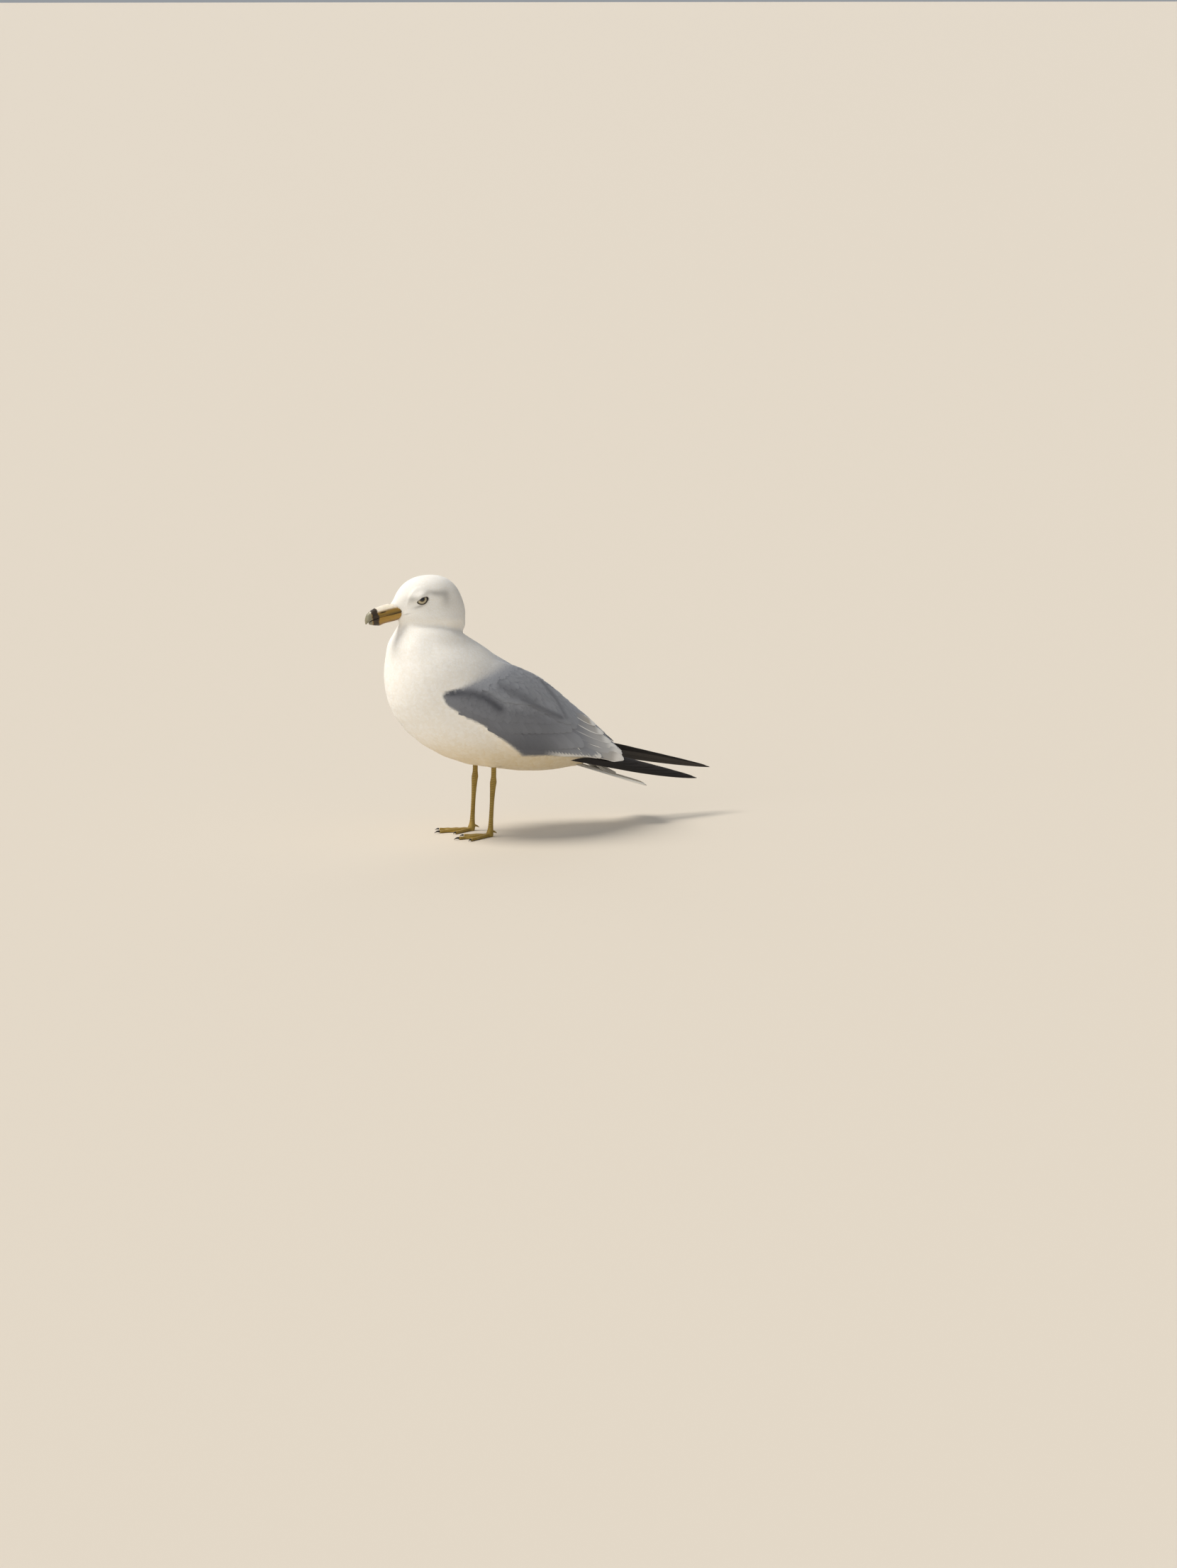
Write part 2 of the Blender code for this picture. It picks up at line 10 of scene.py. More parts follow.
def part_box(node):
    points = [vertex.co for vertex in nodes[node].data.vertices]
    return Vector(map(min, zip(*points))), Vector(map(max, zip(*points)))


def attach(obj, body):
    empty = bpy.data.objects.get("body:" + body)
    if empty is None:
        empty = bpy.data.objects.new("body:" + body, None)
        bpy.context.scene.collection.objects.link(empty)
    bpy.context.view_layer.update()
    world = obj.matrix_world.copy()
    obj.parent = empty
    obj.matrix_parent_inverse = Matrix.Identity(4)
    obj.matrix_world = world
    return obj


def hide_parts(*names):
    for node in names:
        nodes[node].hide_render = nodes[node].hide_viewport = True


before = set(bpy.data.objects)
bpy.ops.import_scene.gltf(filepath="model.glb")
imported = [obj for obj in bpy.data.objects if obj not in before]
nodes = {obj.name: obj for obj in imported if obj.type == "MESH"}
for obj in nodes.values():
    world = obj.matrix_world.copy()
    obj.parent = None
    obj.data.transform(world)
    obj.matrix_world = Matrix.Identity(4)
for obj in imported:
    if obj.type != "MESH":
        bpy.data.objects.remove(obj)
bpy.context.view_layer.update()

mm = 0.001
random = np.random.default_rng(7)

# The bird's own zero lies on the floor, this many millimetres behind its eyes.
behindEyes = 68
eyeLow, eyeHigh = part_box("eye_left")
zeroX = (eyeLow.x + eyeHigh.x) / 2 + behindEyes * mm


def place(x, y, z):
    return Vector((zeroX + x * mm, y * mm, z * mm))


def birdPoints(points):
    # frame metres to millimetres from the bird's zero
    return (np.asarray(points) - np.array([zeroX, 0, 0])) / mm


def framePoints(points):
    return np.asarray(points, dtype=float) * mm + np.array([zeroX, 0, 0])


def smooth(low, high, value):
    t = np.clip((value - low) / (high - low), 0, 1)
    return t * t * (3 - 2 * t)


def hump(value, middle, width, power=2):
    # 1 in the middle, falling softly to nothing on both sides
    return np.exp(-(((value - middle) / width) ** power))


def unit(vectors):
    return vectors / np.maximum(np.linalg.norm(vectors, axis=-1, keepdims=True), 1e-9)


def colour(code):
    # sRGB hex to linear
    parts = [int(code[k:k + 2], 16) / 255 for k in (0, 2, 4)]
    return [p / 12.92 if p <= 0.04045 else ((p + 0.055) / 1.055) ** 2.4 for p in parts] + [1]


def addNode(material, kind, inputs, output=0, **settings):
    # adds a node with its settings and links, and gives back one of its outputs
    made = material.node_tree.nodes.new("ShaderNode" + kind)
    for name, value in settings.items():
        setattr(made, name, value)
    for name, value in inputs.items():
        if isinstance(value, bpy.types.NodeSocket):
            material.node_tree.links.new(value, made.inputs[name])
        else:
            made.inputs[name].default_value = value
    return made.outputs[output]


rgba = {"data_type": "RGBA"}
softStep = {"interpolation_type": "SMOOTHSTEP"}


def newMaterial(name, settings):
    material = bpy.data.materials.new(name)
    material.use_nodes = True
    shader = material.node_tree.nodes["Principled BSDF"]
    for key, value in settings.items():
        shader.inputs[key].default_value = value
    return material, shader


def connect(material, shader, links):
    for name, socket in links.items():
        material.node_tree.links.new(socket, shader.inputs[name])


view = {
    "lens": 109,  # this and the sensor in millimetres
    "sensor": 36,
    "distance": 5.19,  # metres from the bird's zero
    "farthest": 1000,  # metres, and nothing beyond it shows
    "azimuth": -27,  # this and the rest in degrees
    "elevation": 10.07,
    "turnRight": 1.425,  # away from the bird's zero, which frames the bird
    "lookUp": 0.605,
}


def makeCamera():
    azimuth, elevation = math.radians(view["azimuth"]), math.radians(view["elevation"])
    level = math.cos(elevation)
    back = Vector((math.sin(azimuth) * level, -math.cos(azimuth) * level, math.sin(elevation)))
    lens = bpy.data.cameras.new("portrait")
    lens.lens = view["lens"]
    lens.sensor_width = view["sensor"]
    lens.clip_end = view["farthest"]
    camera = bpy.data.objects.new("portrait", lens)
    bpy.context.collection.objects.link(camera)
    camera.location = place(0, 0, 0) + back * view["distance"]
    heading = azimuth - math.radians(view["turnRight"])
    pitch = elevation - math.radians(view["lookUp"])
    camera.rotation_euler = (math.pi / 2 - pitch, 0, heading)
    bpy.context.scene.camera = camera


studio = {
    "floorColour": "cfc6b8",
    "floorReach": 400,  # metres
    "skyColour": "e9eef5",
    "skyStrength": 0.38,
    "lamps": {  # towards the lamp, strength, softness in degrees, colour
        "key": ((-0.54, 0.2, 0.82), 2.95, 24, "fff9f0"),
        "fill": ((-1, -0.55, 0.12), 1.25, 60, "fffdf8"),
        "back": ((0.35, 1, 0.5), 0.6, 60, "f6f9ff"),
    },
}


def makeStudio():
    bm = bmesh.new()
    bmesh.ops.create_grid(bm, x_segments=2, y_segments=2, size=studio["floorReach"])
    floor = toObject("floor", bm)
    # matte backdrop paper: no gloss, so the floor shows soft shadows only
    paper = newMaterial("mattePaper", {"Roughness": 0.95, "Base Color": colour(studio["floorColour"])})[0]
    floor.data.materials.append(paper)
    world = bpy.data.worlds.new("studio")
    world.use_nodes = True
    background = world.node_tree.nodes["Background"]
    background.inputs[0].default_value = colour(studio["skyColour"])
    background.inputs[1].default_value = studio["skyStrength"]
    bpy.context.scene.world = world
    for name, (towards, strength, softness, tint) in studio["lamps"].items():
        light = bpy.data.lights.new(name, "SUN")
        light.energy = strength
        light.angle = math.radians(softness)
        light.color = colour(tint)[:3]
        lamp = bpy.data.objects.new(name, light)
        bpy.context.collection.objects.link(lamp)
        lamp.rotation_euler = Vector(towards).to_track_quat("Z", "Y").to_euler()
    bpy.context.scene.view_settings.view_transform = "Standard"
    print("camera, floor and lights made")


def linked(name, mesh):
    made = bpy.data.objects.new(name, mesh)
    bpy.context.collection.objects.link(made)
    return made


def toObject(name, bm):
    mesh = bpy.data.meshes.new(name)
    bm.to_mesh(mesh)
    bm.free()
    return linked(name, mesh)


def baked(made):
    # the object with its modifiers applied
    graph = bpy.context.evaluated_depsgraph_get()
    mesh = bpy.data.meshes.new_from_object(made.evaluated_get(graph), depsgraph=graph)
    mesh.name = made.name
    made.modifiers.clear()
    made.data = mesh
    return made


def nodeCopy(names):
    bm = bmesh.new()
    for name in names:
        bm.from_mesh(nodes[name].data)
    bmesh.ops.remove_doubles(bm, verts=bm.verts, dist=0.01 * mm)
    return bm


def addModifier(made, kind, **settings):
    modifier = made.modifiers.new(kind.lower(), kind)
    for name, value in settings.items():
        setattr(modifier, name, value)
    return modifier


def addRemesh(made, voxel, rounds=0):
    # makes one even skin of what overlaps, and softens it in so many rounds
    addModifier(made, "REMESH", mode="VOXEL", voxel_size=voxel * mm)
    if rounds:
        addModifier(made, "SMOOTH", factor=0.5, iterations=rounds)


def points(mesh):
    values = np.zeros(len(mesh.vertices) * 3)
    mesh.vertices.foreach_get("co", values)
    return values.reshape(-1, 3)


def setPoints(mesh, values):
    mesh.vertices.foreach_set("co", values.astype(np.float32).ravel())
    mesh.update()


def normals(mesh):
    values = np.zeros(len(mesh.vertices) * 3)
    mesh.vertex_normals.foreach_get("vector", values)
    return values.reshape(-1, 3)


def store(mesh, **values):
    for name, value in values.items():
        layer = mesh.attributes.new(name, "FLOAT", "POINT")
        layer.data.foreach_set("value", np.asarray(value, dtype=np.float32))


def finish(piece, material, slot, *replaced):
    piece.data.materials.clear()
    piece.data.materials.append(material)
    piece.data.shade_smooth()
    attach(piece, "root")
    if replaced:
        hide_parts(*replaced)
    return piece


# Places on the bill go by reach ahead of its base and rise above it, along its own slope, in millimetres.
bill = {
    "base": (-96, 0, 250.0),
    "slope": 12.0,  # degrees down from level
    "around": (12.5, -11, 13),  # half width, lowest and highest rise of anything that is bill
    "elsewhere": -20,  # stands for a place off the bill
    "voxel": 0.34,
    "smoothRounds": 14,
    "ring": (18.2, 25.0),  # the dark ring, from and to this reach
    "nostril": (12.0, 4.6, 3.4, 0.75),  # reach, rise, half length and half height
    "featherRise": [-9, -5, -1.5, 0, 1.2, 5, 10.6],  # the feathers' edge, from the chin to the forehead
    "featherReach": [-4, -6.5, -8, -9.5, -8, -3, 2.2],
    "featherCuts": [  # from the lower to the upper end of the feathers' edge, as reach and rise
        ("bill_upper", (-9.5, 0), (2.2, 10.6)), ("bill_lower", (-4, -9), (-8, -1.5)),
    ],
    "sunk": 1.3,  # the horn dips this far under the feathers
    "pitDepth": 1.0,  # the nostrils
    "grooveDepth": 0.35,  # the groove that each of them lies in
    "keelHeight": 0.3,  # along the upper half's ridge
    "gonys": (17, 3.0, 1.6, 0.5),  # reach, half length, half width and height of the chin's angle
    "gapeDepth": 0.18,  # the line where the halves meet
}


def billAxes():
    # ahead along the bill and up from it
    slope = math.radians(bill["slope"])
    return (-math.cos(slope), 0, -math.sin(slope)), (-math.sin(slope), 0, math.cos(slope))


def billPlaces(p):
    # reach, rise and place across
    ahead, up = (np.array(axis) for axis in billAxes())
    away = birdPoints(p) - np.array(bill["base"])
    return away @ ahead, away @ up, away[:, 1]


def bareHorn(p):
    # how far ahead of the feathers' edge a place on the bill lies, in millimetres
    reach, rise, across = billPlaces(p)
    ahead = reach - np.interp(rise, bill["featherRise"], bill["featherReach"])
    halfWidth, lowest, highest = bill["around"]
    onBill = (abs(across) < halfWidth) & (rise > lowest) & (rise < highest)
    return np.where(onBill, ahead, bill["elsewhere"])


# where the eyes lie and how far they open, in millimetres
eyes = {
    "centre": (-68, 15.6, 264.2),
    "radius": 7.0,
    "gaze": (-0.2, 1, 0.07),
    "tilt": 24,  # the opening runs down towards the bill, degrees
    "halfLength": 6.0,
    "lidUp": 1.9,
    "lidDown": 4.3,
    "corners": 1.8,  # 2 is an oval, less is more pointed
    "upperLid": (1.3, 1.0),  # how thick and how broad its section becomes: it is the heavier
    "lowerLid": (1.0, 0.75),
    "turnedUp": 0.2,
    "turnedAhead": 0.06,
    "iris": 5.5,
    "pupil": 2.8,
    "cornea": (0.12, 0.55),  # how high it bulges and how far round the ball, in radians
    "fibres": 24,
    "behind": -2,  # what lies lower than this counts as nowhere near the eye
    "rimRise": 0.45,  # the face meets the lids this far over the ball
    "swell": 0.42,  # fall of the swelling round the lids, mm per mm
    "orbit": 12,
    "blend": 0.5,
    "brow": 1.3,
    "browShape": (5.6, 2.4, -1, 8),  # rise over the eye's middle, height, place ahead and length
}


def eyeFrame(side):
    # axes of one eye: across (towards the bill), up, and out along the gaze
    x, y, z = eyes["gaze"]
    out = Vector((x, side * y, z)).normalized()
    up = Vector((0, 0, 1))
    up = (up - out * up.dot(out)).normalized()
    ahead = out.cross(up) * side
    if ahead.x > 0:
        ahead = -ahead
    tilt = math.radians(eyes["tilt"])
    across = ahead * math.cos(tilt) - up * math.sin(tilt)
    lift = ahead * math.sin(tilt) + up * math.cos(tilt)
    x, y, z = eyes["centre"]
    return place(x, side * y, z), across, lift, out


def openingAt(u, v):
    # distance from the middle of the eye to the lids' edge in that direction
    reach = np.maximum(np.hypot(u, v), 1e-6)
    half = np.where(v > 0, eyes["lidUp"], eyes["lidDown"])
    n = eyes["corners"]
    return (np.abs(u / reach / eyes["halfLength"]) ** n + np.abs(v / reach / half) ** n) ** (-1 / n)


def eyePlaces(p, side):
    # distance outside the lids' edge, height along the gaze, height of the edge, and places ahead and up
    centre, across, lift, out = eyeFrame(side)
    away = (p - np.array(centre)) / mm
    u, v, height = away @ np.array(across), away @ np.array(lift), away @ np.array(out)
    edge = openingAt(u, v)
    rim = np.sqrt(eyes["radius"] ** 2 - edge**2)
    outside = np.where(height > eyes["behind"], np.hypot(u, v) - edge, 99)
    return outside, height, rim, u, v


# the body's form, which the coat fills and the skin lies inside, in millimetres
form = {
    "voxel": 1.8,
    "closing": 7.0,  # hollows narrower than twice this are bridged by the coat
    "joinRounds": 4,
    "smoothRounds": 8,
    "foldPlaces": [-95, -84, -50, -20, -5, 10],  # line of the fold between head and neck, and its depth
    "foldHeights": [238, 238, 236, 230, 221, 214],
    "foldDepths": [0.0, 1.4, 2.1, 2.7, 3.6, 2.0],
    "foldShape": [(0, 4, -1), (9, 6, 0.6), (-10, 7, 0.7)],  # height over the line, width, share of the depth
    "foldEnds": (25, 8),  # places between which it fades out on the back
    "hollows": [  # push, its height and width, and the places between which it sets in
        (-3.0, 234, 9, -40, -22),  # the nape
        (3.0, 216, 12, -62, -86),  # the full upper breast
    ],
    "fleshNodes": ["head", "neck", "trunk", "thigh_left", "thigh_right", "wing_left", "wing_right"],
}


def addBillRoot(body):
    # the parts of the bill that the forehead's and the chin's feathers run over
    ahead, up = (Vector(axis) for axis in billAxes())
    for name, (lowReach, lowRise), (highReach, highRise) in bill["featherCuts"]:
        bm = nodeCopy([name])
        run = (ahead * (highReach - lowReach) + up * (highRise - lowRise)).normalized()
        cut = bmesh.ops.bisect_plane(
            bm,
            geom=bm.verts[:] + bm.edges[:] + bm.faces[:],
            plane_co=place(*bill["base"]) + (ahead * lowReach + up * lowRise) * mm,
            plane_no=run.cross(Vector((0, 1, 0))),
            clear_outer=True,
        )
        bmesh.ops.holes_fill(bm, edges=[e for e in cut["geom_cut"] if isinstance(e, bmesh.types.BMEdge)])
        mesh = bpy.data.meshes.new("billRoot")
        bm.to_mesh(mesh)
        bm.free()
        body.from_mesh(mesh)


outsideBird = 140  # millimetres, farther to the side than any part of it


class Surface:
    # a mesh to lay feathers on: nearest points with smooth normals
    def __init__(self, mesh):
        self.points, self.normals = points(mesh), normals(mesh)
        mesh.calc_loop_triangles()
        corners = np.zeros(len(mesh.loop_triangles) * 3, dtype=np.int32)
        mesh.loop_triangles.foreach_get("vertices", corners)
        self.triangles = corners.reshape(-1, 3)
        self.tree = BVHTree.FromPolygons(self.points.tolist(), self.triangles.tolist())

    def smoothNormals(self, spots, faces):
        corners = self.triangles[faces]
        nearness = 1 / (np.linalg.norm(self.points[corners] - spots[:, None], axis=2) + 1e-6)
        return unit((self.normals[corners] * nearness[..., None]).sum(axis=1))

    def nearest(self, places):
        found = [self.tree.find_nearest(p) for p in places.tolist()]
        spots = np.array([f[0] for f in found])
        return spots, self.smoothNormals(spots, [f[2] for f in found])

    def fromSide(self, x, z, side):
        # where a level ray from the bird's side meets the form
        spots = []
        for px, pz in zip(x, z):
            hit = self.tree.ray_cast(place(px, side * outsideBird, pz), Vector((0, -side, 0)))[0]
            spots.append(hit or self.tree.find_nearest(place(px, side * 15, pz))[0])
        return self.nearest(np.array(spots))

    def scatter(self, count, weight):
        corners = self.points[self.triangles]
        area = np.linalg.norm(np.cross(corners[:, 1] - corners[:, 0], corners[:, 2] - corners[:, 0]), axis=1)
        area *= weight(birdPoints(corners.mean(axis=1)))
        pick = random.choice(len(area), count, p=area / area.sum())
        a, b = random.random(count), random.random(count)
        flip = a + b > 1
        a[flip], b[flip] = 1 - a[flip], 1 - b[flip]
        face = self.triangles[pick]
        weights = np.stack([1 - a - b, a, b], axis=1)[..., None]
        return (self.points[face] * weights).sum(axis=1), unit((self.normals[face] * weights).sum(axis=1))


def swellOrbits(mesh):
    # raises the face to the lids' edge, with a flat brow over each eye
    p = points(mesh)
    browUp, browHigh, browAhead, browLong = eyes["browShape"]
    blend = eyes["blend"]
    for side in (-1, 1):
        outside, height, rim, u, v = eyePlaces(p, side)
        target = rim + eyes["rimRise"] - eyes["swell"] * np.maximum(outside, 0)
        target -= 2 * np.maximum(-outside, 0)
        fall = ((v - browUp) / browHigh) ** 2 + ((u - browAhead) / browLong) ** 2
        target += eyes["brow"] * np.exp(-fall)
        lift = blend * np.logaddexp(0, (target - height) / blend) * (outside < eyes["orbit"]) * (height > -1)
        p += (lift * mm)[:, None] * np.array(eyeFrame(side)[3])
    setPoints(mesh, p)


def foldNeck(mesh):
    # the head rests on the drawn-in neck: a soft fold from the throat round to the nape
    p, n = points(mesh), normals(mesh)
    bird = birdPoints(p)
    line = np.interp(bird[:, 0], form["foldPlaces"], form["foldHeights"])
    deep = np.interp(bird[:, 0], form["foldPlaces"], form["foldDepths"])
    away = bird[:, 2] - line
    push = sum(share * hump(away, middle, width) for middle, width, share in form["foldShape"])
    push *= deep * smooth(*form["foldEnds"], bird[:, 0])
    for most, height, width, none, full in form["hollows"]:
        push += most * hump(bird[:, 2], height, width) * smooth(none, full, bird[:, 0])
    setPoints(mesh, p + n * push[:, None] * mm)


def makeForm():
    bm = nodeCopy(form["fleshNodes"])
    addBillRoot(bm)
    whole = toObject("form", bm)
    reach = form["closing"] * mm
    addRemesh(whole, form["voxel"])
    addModifier(whole, "DISPLACE", strength=reach, mid_level=0)
    addRemesh(whole, form["voxel"], form["joinRounds"])
    addModifier(whole, "DISPLACE", strength=-reach, mid_level=0)
    addRemesh(whole, form["voxel"], form["smoothRounds"])
    baked(whole)
    foldNeck(whole.data)
    swellOrbits(whole.data)
    surface = Surface(whole.data)
    print("body form:", len(surface.triangles), "triangles")
    return whole, surface


# markings, shared by the skin and the coat
marks = {
    "collarHeights": [150, 163, 168, 172, 180, 194, 205, 216],  # the white neck ends here, from wrist to back
    "collarPlaces": [-66, -62, -59, -45, -37, -32, -16, 4],
    "collarFadesAndTopLight": [5, 5, 6, 12, 36, 96, 112, 104],  # sharp at the wrist, soft on the back, where the long fade also paints the mantle's top paler as painted light from above
    "streaks": [  # painted shadow lines under overlapping feather groups: strength, width and line of each, as x and z
        (0.75, 4.0, [(-60, 167), (-48, 167)]),
        (0.5, 5.0, [(-46, 167), (-28, 166), (-11, 159), (4, 147)]),
        (0.5, 6.0, [(8, 170), (35, 156), (50, 148)]),
        (0.6, 3.2, [(34, 154), (55, 144), (78, 133), (92, 127)]),
        (0.5, 2.6, [(72, 168), (90, 146), (99, 127)]),
    ],
    "lowerWingShade": [(0.5, 0, 14), (0.3, 25, 50)],  # painted shade on the lower wing: strength, then how far below the scapulars from and to
    "lowerWingShadeEnds": (125, 60),  # none of it behind the first place, all of it ahead of the second
    "capeEdgePlaces": [-66, -54, -33, -15, -3, 14, 31, 39, 67, 90, 130, 190],  # the grey wing's lower edge
    "capeEdgeHeights": [173, 153, 139, 130, 121, 109, 96, 90, 89, 86, 78, 60],
    "ridge": (241, 0.87),  # height of the folded wings' ridge at the bird's zero, and its fall per mm
    "rump": (100, (16, 12), (16, 22)),  # white from here back, this near the middle and this far down
    "smudgeDeep": 14,  # how far in and out a blot reaches
    "smudges": [  # strength, centre, length and height of each dusky blot, and its tilt
        (0.4, (-57, 23, 271.8), 7, 3.0, -0.2),
        (0.4, (-47, 25, 271.0), 8, 4.0, 0.05),
        (0.32, (-42, 26, 266.0), 5, 7, -0.2),
        (0.42, (-79.5, 18, 265.5), 5.5, 3.2, 0.35),
        (0.5, (-72, 22, 257.6), 6, 1.6, 0.35),
        (0.14, (-40, 27, 259), 12, 8, 0),
        (0.14, (-18, 12, 262), 14, 22, 0),
        (0.45, (-84, 9, 249.2), 3.2, 0.7, 0.3),
    ],
}


def greyAt(p):
    # how much of the grey cape lies here, 0 to 1; the wide fade on the back paints light onto the mantle's
    # top
    x, z = p[:, 0], p[:, 2]
    collar = np.interp(z, marks["collarHeights"], marks["collarPlaces"])
    fade = np.interp(z, marks["collarHeights"], marks["collarFadesAndTopLight"])
    edge = np.interp(x, marks["capeEdgePlaces"], marks["capeEdgeHeights"])
    top, fall = marks["ridge"]
    start, across, below = marks["rump"]
    rump = smooth(*across, abs(p[:, 1])) * smooth(*below, top - fall * x - z) * (x > start)
    return smooth(0, 1, (x - collar) / fade) * smooth(-2, 2, z - edge) * (1 - rump)


def smudgeAt(p):
    # the winter bird's dusky marks before, above and behind the eye, 0 to 1
    total = np.zeros(len(p))
    for strength, (x, y, z), long, high, tilt in marks["smudges"]:
        dx, dz = p[:, 0] - x, p[:, 2] - z
        along = dx * math.cos(tilt) + dz * math.sin(tilt)
        across = -dx * math.sin(tilt) + dz * math.cos(tilt)
        away = (along / long) ** 2 + ((abs(p[:, 1]) - y) / marks["smudgeDeep"]) ** 2 + (across / high) ** 2
        total += strength * np.exp(-away)
    return np.clip(total, 0, 1)


# bare legs: scaly hide over the shanks, toes and webs
legs = {
    "voxel": 0.45,
    "smoothRounds": 6,
    "shankPlates": (2.6, 0.42),  # length of each plate and width of the joint between two, mm
    "shankSlant": 0.35,
    "toePlates": (1.5, 0.36),
    "jointDepth": 0.22,
    "toes": (-25, 2, 27),  # the inner, middle and outer, in degrees from straight ahead
    "toeHalf": 1.9,
    "side": 22,  # from the bird's middle to a leg's
    "ankle": 11.2,
    "shankLine": [(11.2, 8.3), (12.2, 24), (13.2, 40), (14.2, 54), (14.8, 60), (15.5, 75.7)],
    "hidden": 12,  # the top reaches this far into the feathered thigh
    "bareTo": (78, 82),  # heights between which the hide turns to down
    "room": (46, 40),  # the legs keep within this far of the bird's middle plane and ahead of this place
}


def plateJoints(along, length, width):
    step = np.mod(along, length)
    return hump(np.minimum(step, length - step), 0, width)


def scuteDepths(p, side):
    # grooves between the plates down the shank's front and the toes' tops, as a depth from 0 to 1
    x, y, z = p[:, 0], p[:, 1] - side * legs["side"], p[:, 2]
    line = np.array(legs["shankLine"])
    front = smooth(-0.3, 0.5, (np.interp(z, line[:, 1], line[:, 0]) - x) / 3)
    total = plateJoints(z + legs["shankSlant"] * y, *legs["shankPlates"]) * front * smooth(8, 12, z)
    for angle in legs["toes"]:
        turn = math.radians(angle)
        aheadX, aheadY = -math.cos(turn), side * math.sin(turn)
        along = (x - legs["ankle"]) * aheadX + y * aheadY
        across = -(x - legs["ankle"]) * aheadY + y * aheadX
        groove = plateJoints(along, *legs["toePlates"]) * hump(across, 0, legs["toeHalf"], 4)
        total += groove * smooth(3, 6, along) * smooth(1.6, 2.6, z)
    return np.clip(total, 0, 1)


def makeLeg(side, name):
    bm = nodeCopy([f"shank_{name}", f"foot_{name}"])
    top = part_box(f"shank_{name}")[1].z
    for v in bm.verts:
        if v.co.z > top - 0.5 * mm:
            v.co.z += legs["hidden"] * mm
    leg = toObject(f"leg_{name}", bm)
    addRemesh(leg, legs["voxel"], legs["smoothRounds"])
    baked(leg)
    p = points(leg.data)
    depth = scuteDepths(birdPoints(p), side) * legs["jointDepth"] * mm
    p -= normals(leg.data) * depth[:, None]
    p[:, 2] = np.maximum(p[:, 2], 0)
    setPoints(leg.data, p)
    return leg


# the lid's section: distance outside its edge and height over the ball there, in millimetres
lidSection = [
    (0.05, 0.0), (-0.1, 0.3), (0.1, 0.55), (0.45, 0.6), (0.85, 0.3),
    (1.6, -0.55), (2.6, -1.4), (3.4, -2.4), (3.2, -3.4), (1.2, -2.8), (0.3, -1.2),
]


def spun(profile, steps, closed=False):
    # a profile of reach and rise, turned right round the z axis
    bm = bmesh.new()
    line = [bm.verts.new((reach, 0, rise)) for reach, rise in profile]
    edges = [bm.edges.new(pair) for pair in zip(line, line[1:] + line[:1] if closed else line[1:])]
    bmesh.ops.spin(
        bm, geom=line + edges, cent=(0, 0, 0), axis=(0, 0, 1), angle=2 * math.pi, steps=steps, use_merge=True
    )
    bmesh.ops.remove_doubles(bm, verts=bm.verts, dist=0.001)
    return bm


def makeLids(side, name):
    # the section is spun into a ring, then drawn to the almond of the opening
    centre, across, lift, out = eyeFrame(side)
    hub = 10
    bm = spun([(hub + reach, rise) for reach, rise in lidSection], 80, closed=True)
    for v in bm.verts:
        outside = math.hypot(v.co.x, v.co.y) - hub
        turn = math.atan2(v.co.y, v.co.x)
        edge = float(openingAt(math.cos(turn), math.sin(turn)))
        thick, broad = eyes["upperLid"] if v.co.y > 0 else eyes["lowerLid"]
        height = math.sqrt(eyes["radius"] ** 2 - edge**2) + v.co.z * (thick if v.co.z > 0 else 1)
        reach = edge + outside * broad
        v.co = centre + (across * math.cos(turn) * reach + lift * math.sin(turn) * reach + out * height) * mm
    bmesh.ops.recalc_face_normals(bm, faces=bm.faces)
    lids = toObject(f"lids_{name}", bm)
    addModifier(lids, "SUBSURF", levels=1, render_levels=1)
    return baked(lids)


def makeEye(side, name):
    # the ball is turned from its profile, with a slight bulge over the iris
    centre, across, lift, out = eyeFrame(side)
    out = (out + lift * eyes["turnedUp"] + across * eyes["turnedAhead"]).normalized()
    lift = (lift - out * lift.dot(out)).normalized()
    across = (across - out * across.dot(out) - lift * across.dot(lift)).normalized()
    high, spread = eyes["cornea"]
    profile, bands = [], 32
    for k in range(bands + 1):
        turn = math.pi * k / bands
        radius = eyes["radius"] - 0.1 + high * math.exp(-((turn / spread) ** 4))
        profile.append((radius * math.sin(turn), radius * math.cos(turn)))
    bm = spun(profile, 2 * bands)
    reach = np.array([math.hypot(v.co.x, v.co.y) if v.co.z > 0 else 20 for v in bm.verts])
    turned = np.array([math.atan2(v.co.y, v.co.x) for v in bm.verts])
    for v in bm.verts:
        v.co = centre + (across * v.co.x + lift * v.co.y + out * v.co.z) * mm
    bmesh.ops.recalc_face_normals(bm, faces=bm.faces)
    eye = toObject(f"eyeball_{name}", bm)
    store(eye.data, reach=reach, fibre=np.sin(turned * eyes["fibres"]) * 0.5 + 0.5)
    return eye


def eyeMaterial():
    # wet cornea over a pale straw iris: a sharp small highlight on a dark pupil
    material, shader = newMaterial(
        "wetCornea", {"Roughness": 0.12, "Coat Weight": 1.0, "Coat Roughness": 0.02, "IOR": 1.376}
    )
    reach, fibre = (addNode(material, "Attribute", {}, 2, attribute_name=key) for key in ("reach", "fibre"))
    pupil, iris = eyes["pupil"], eyes["iris"]
    base = addNode(material, "Mix", {0: fibre, 6: colour("c2b799"), 7: colour("aa9f82")}, 2, **rgba)
    for low, high, tint in (
        (pupil + 0.9, pupil + 0.1, "8d7a55"),
        (iris - 1.2, iris, "6b5f4a"),
        (pupil + 0.12, pupil - 0.12, "0b0908"),
        (iris - 0.1, iris + 0.4, "1d1713"),
    ):
        share = addNode(material, "MapRange", {"Value": reach, 1: low, 2: high}, **softStep)
        base = addNode(material, "Mix", {0: share, 6: base, 7: colour(tint)}, 2, **rgba)
    connect(material, shader, {"Base Color": base})
    return material


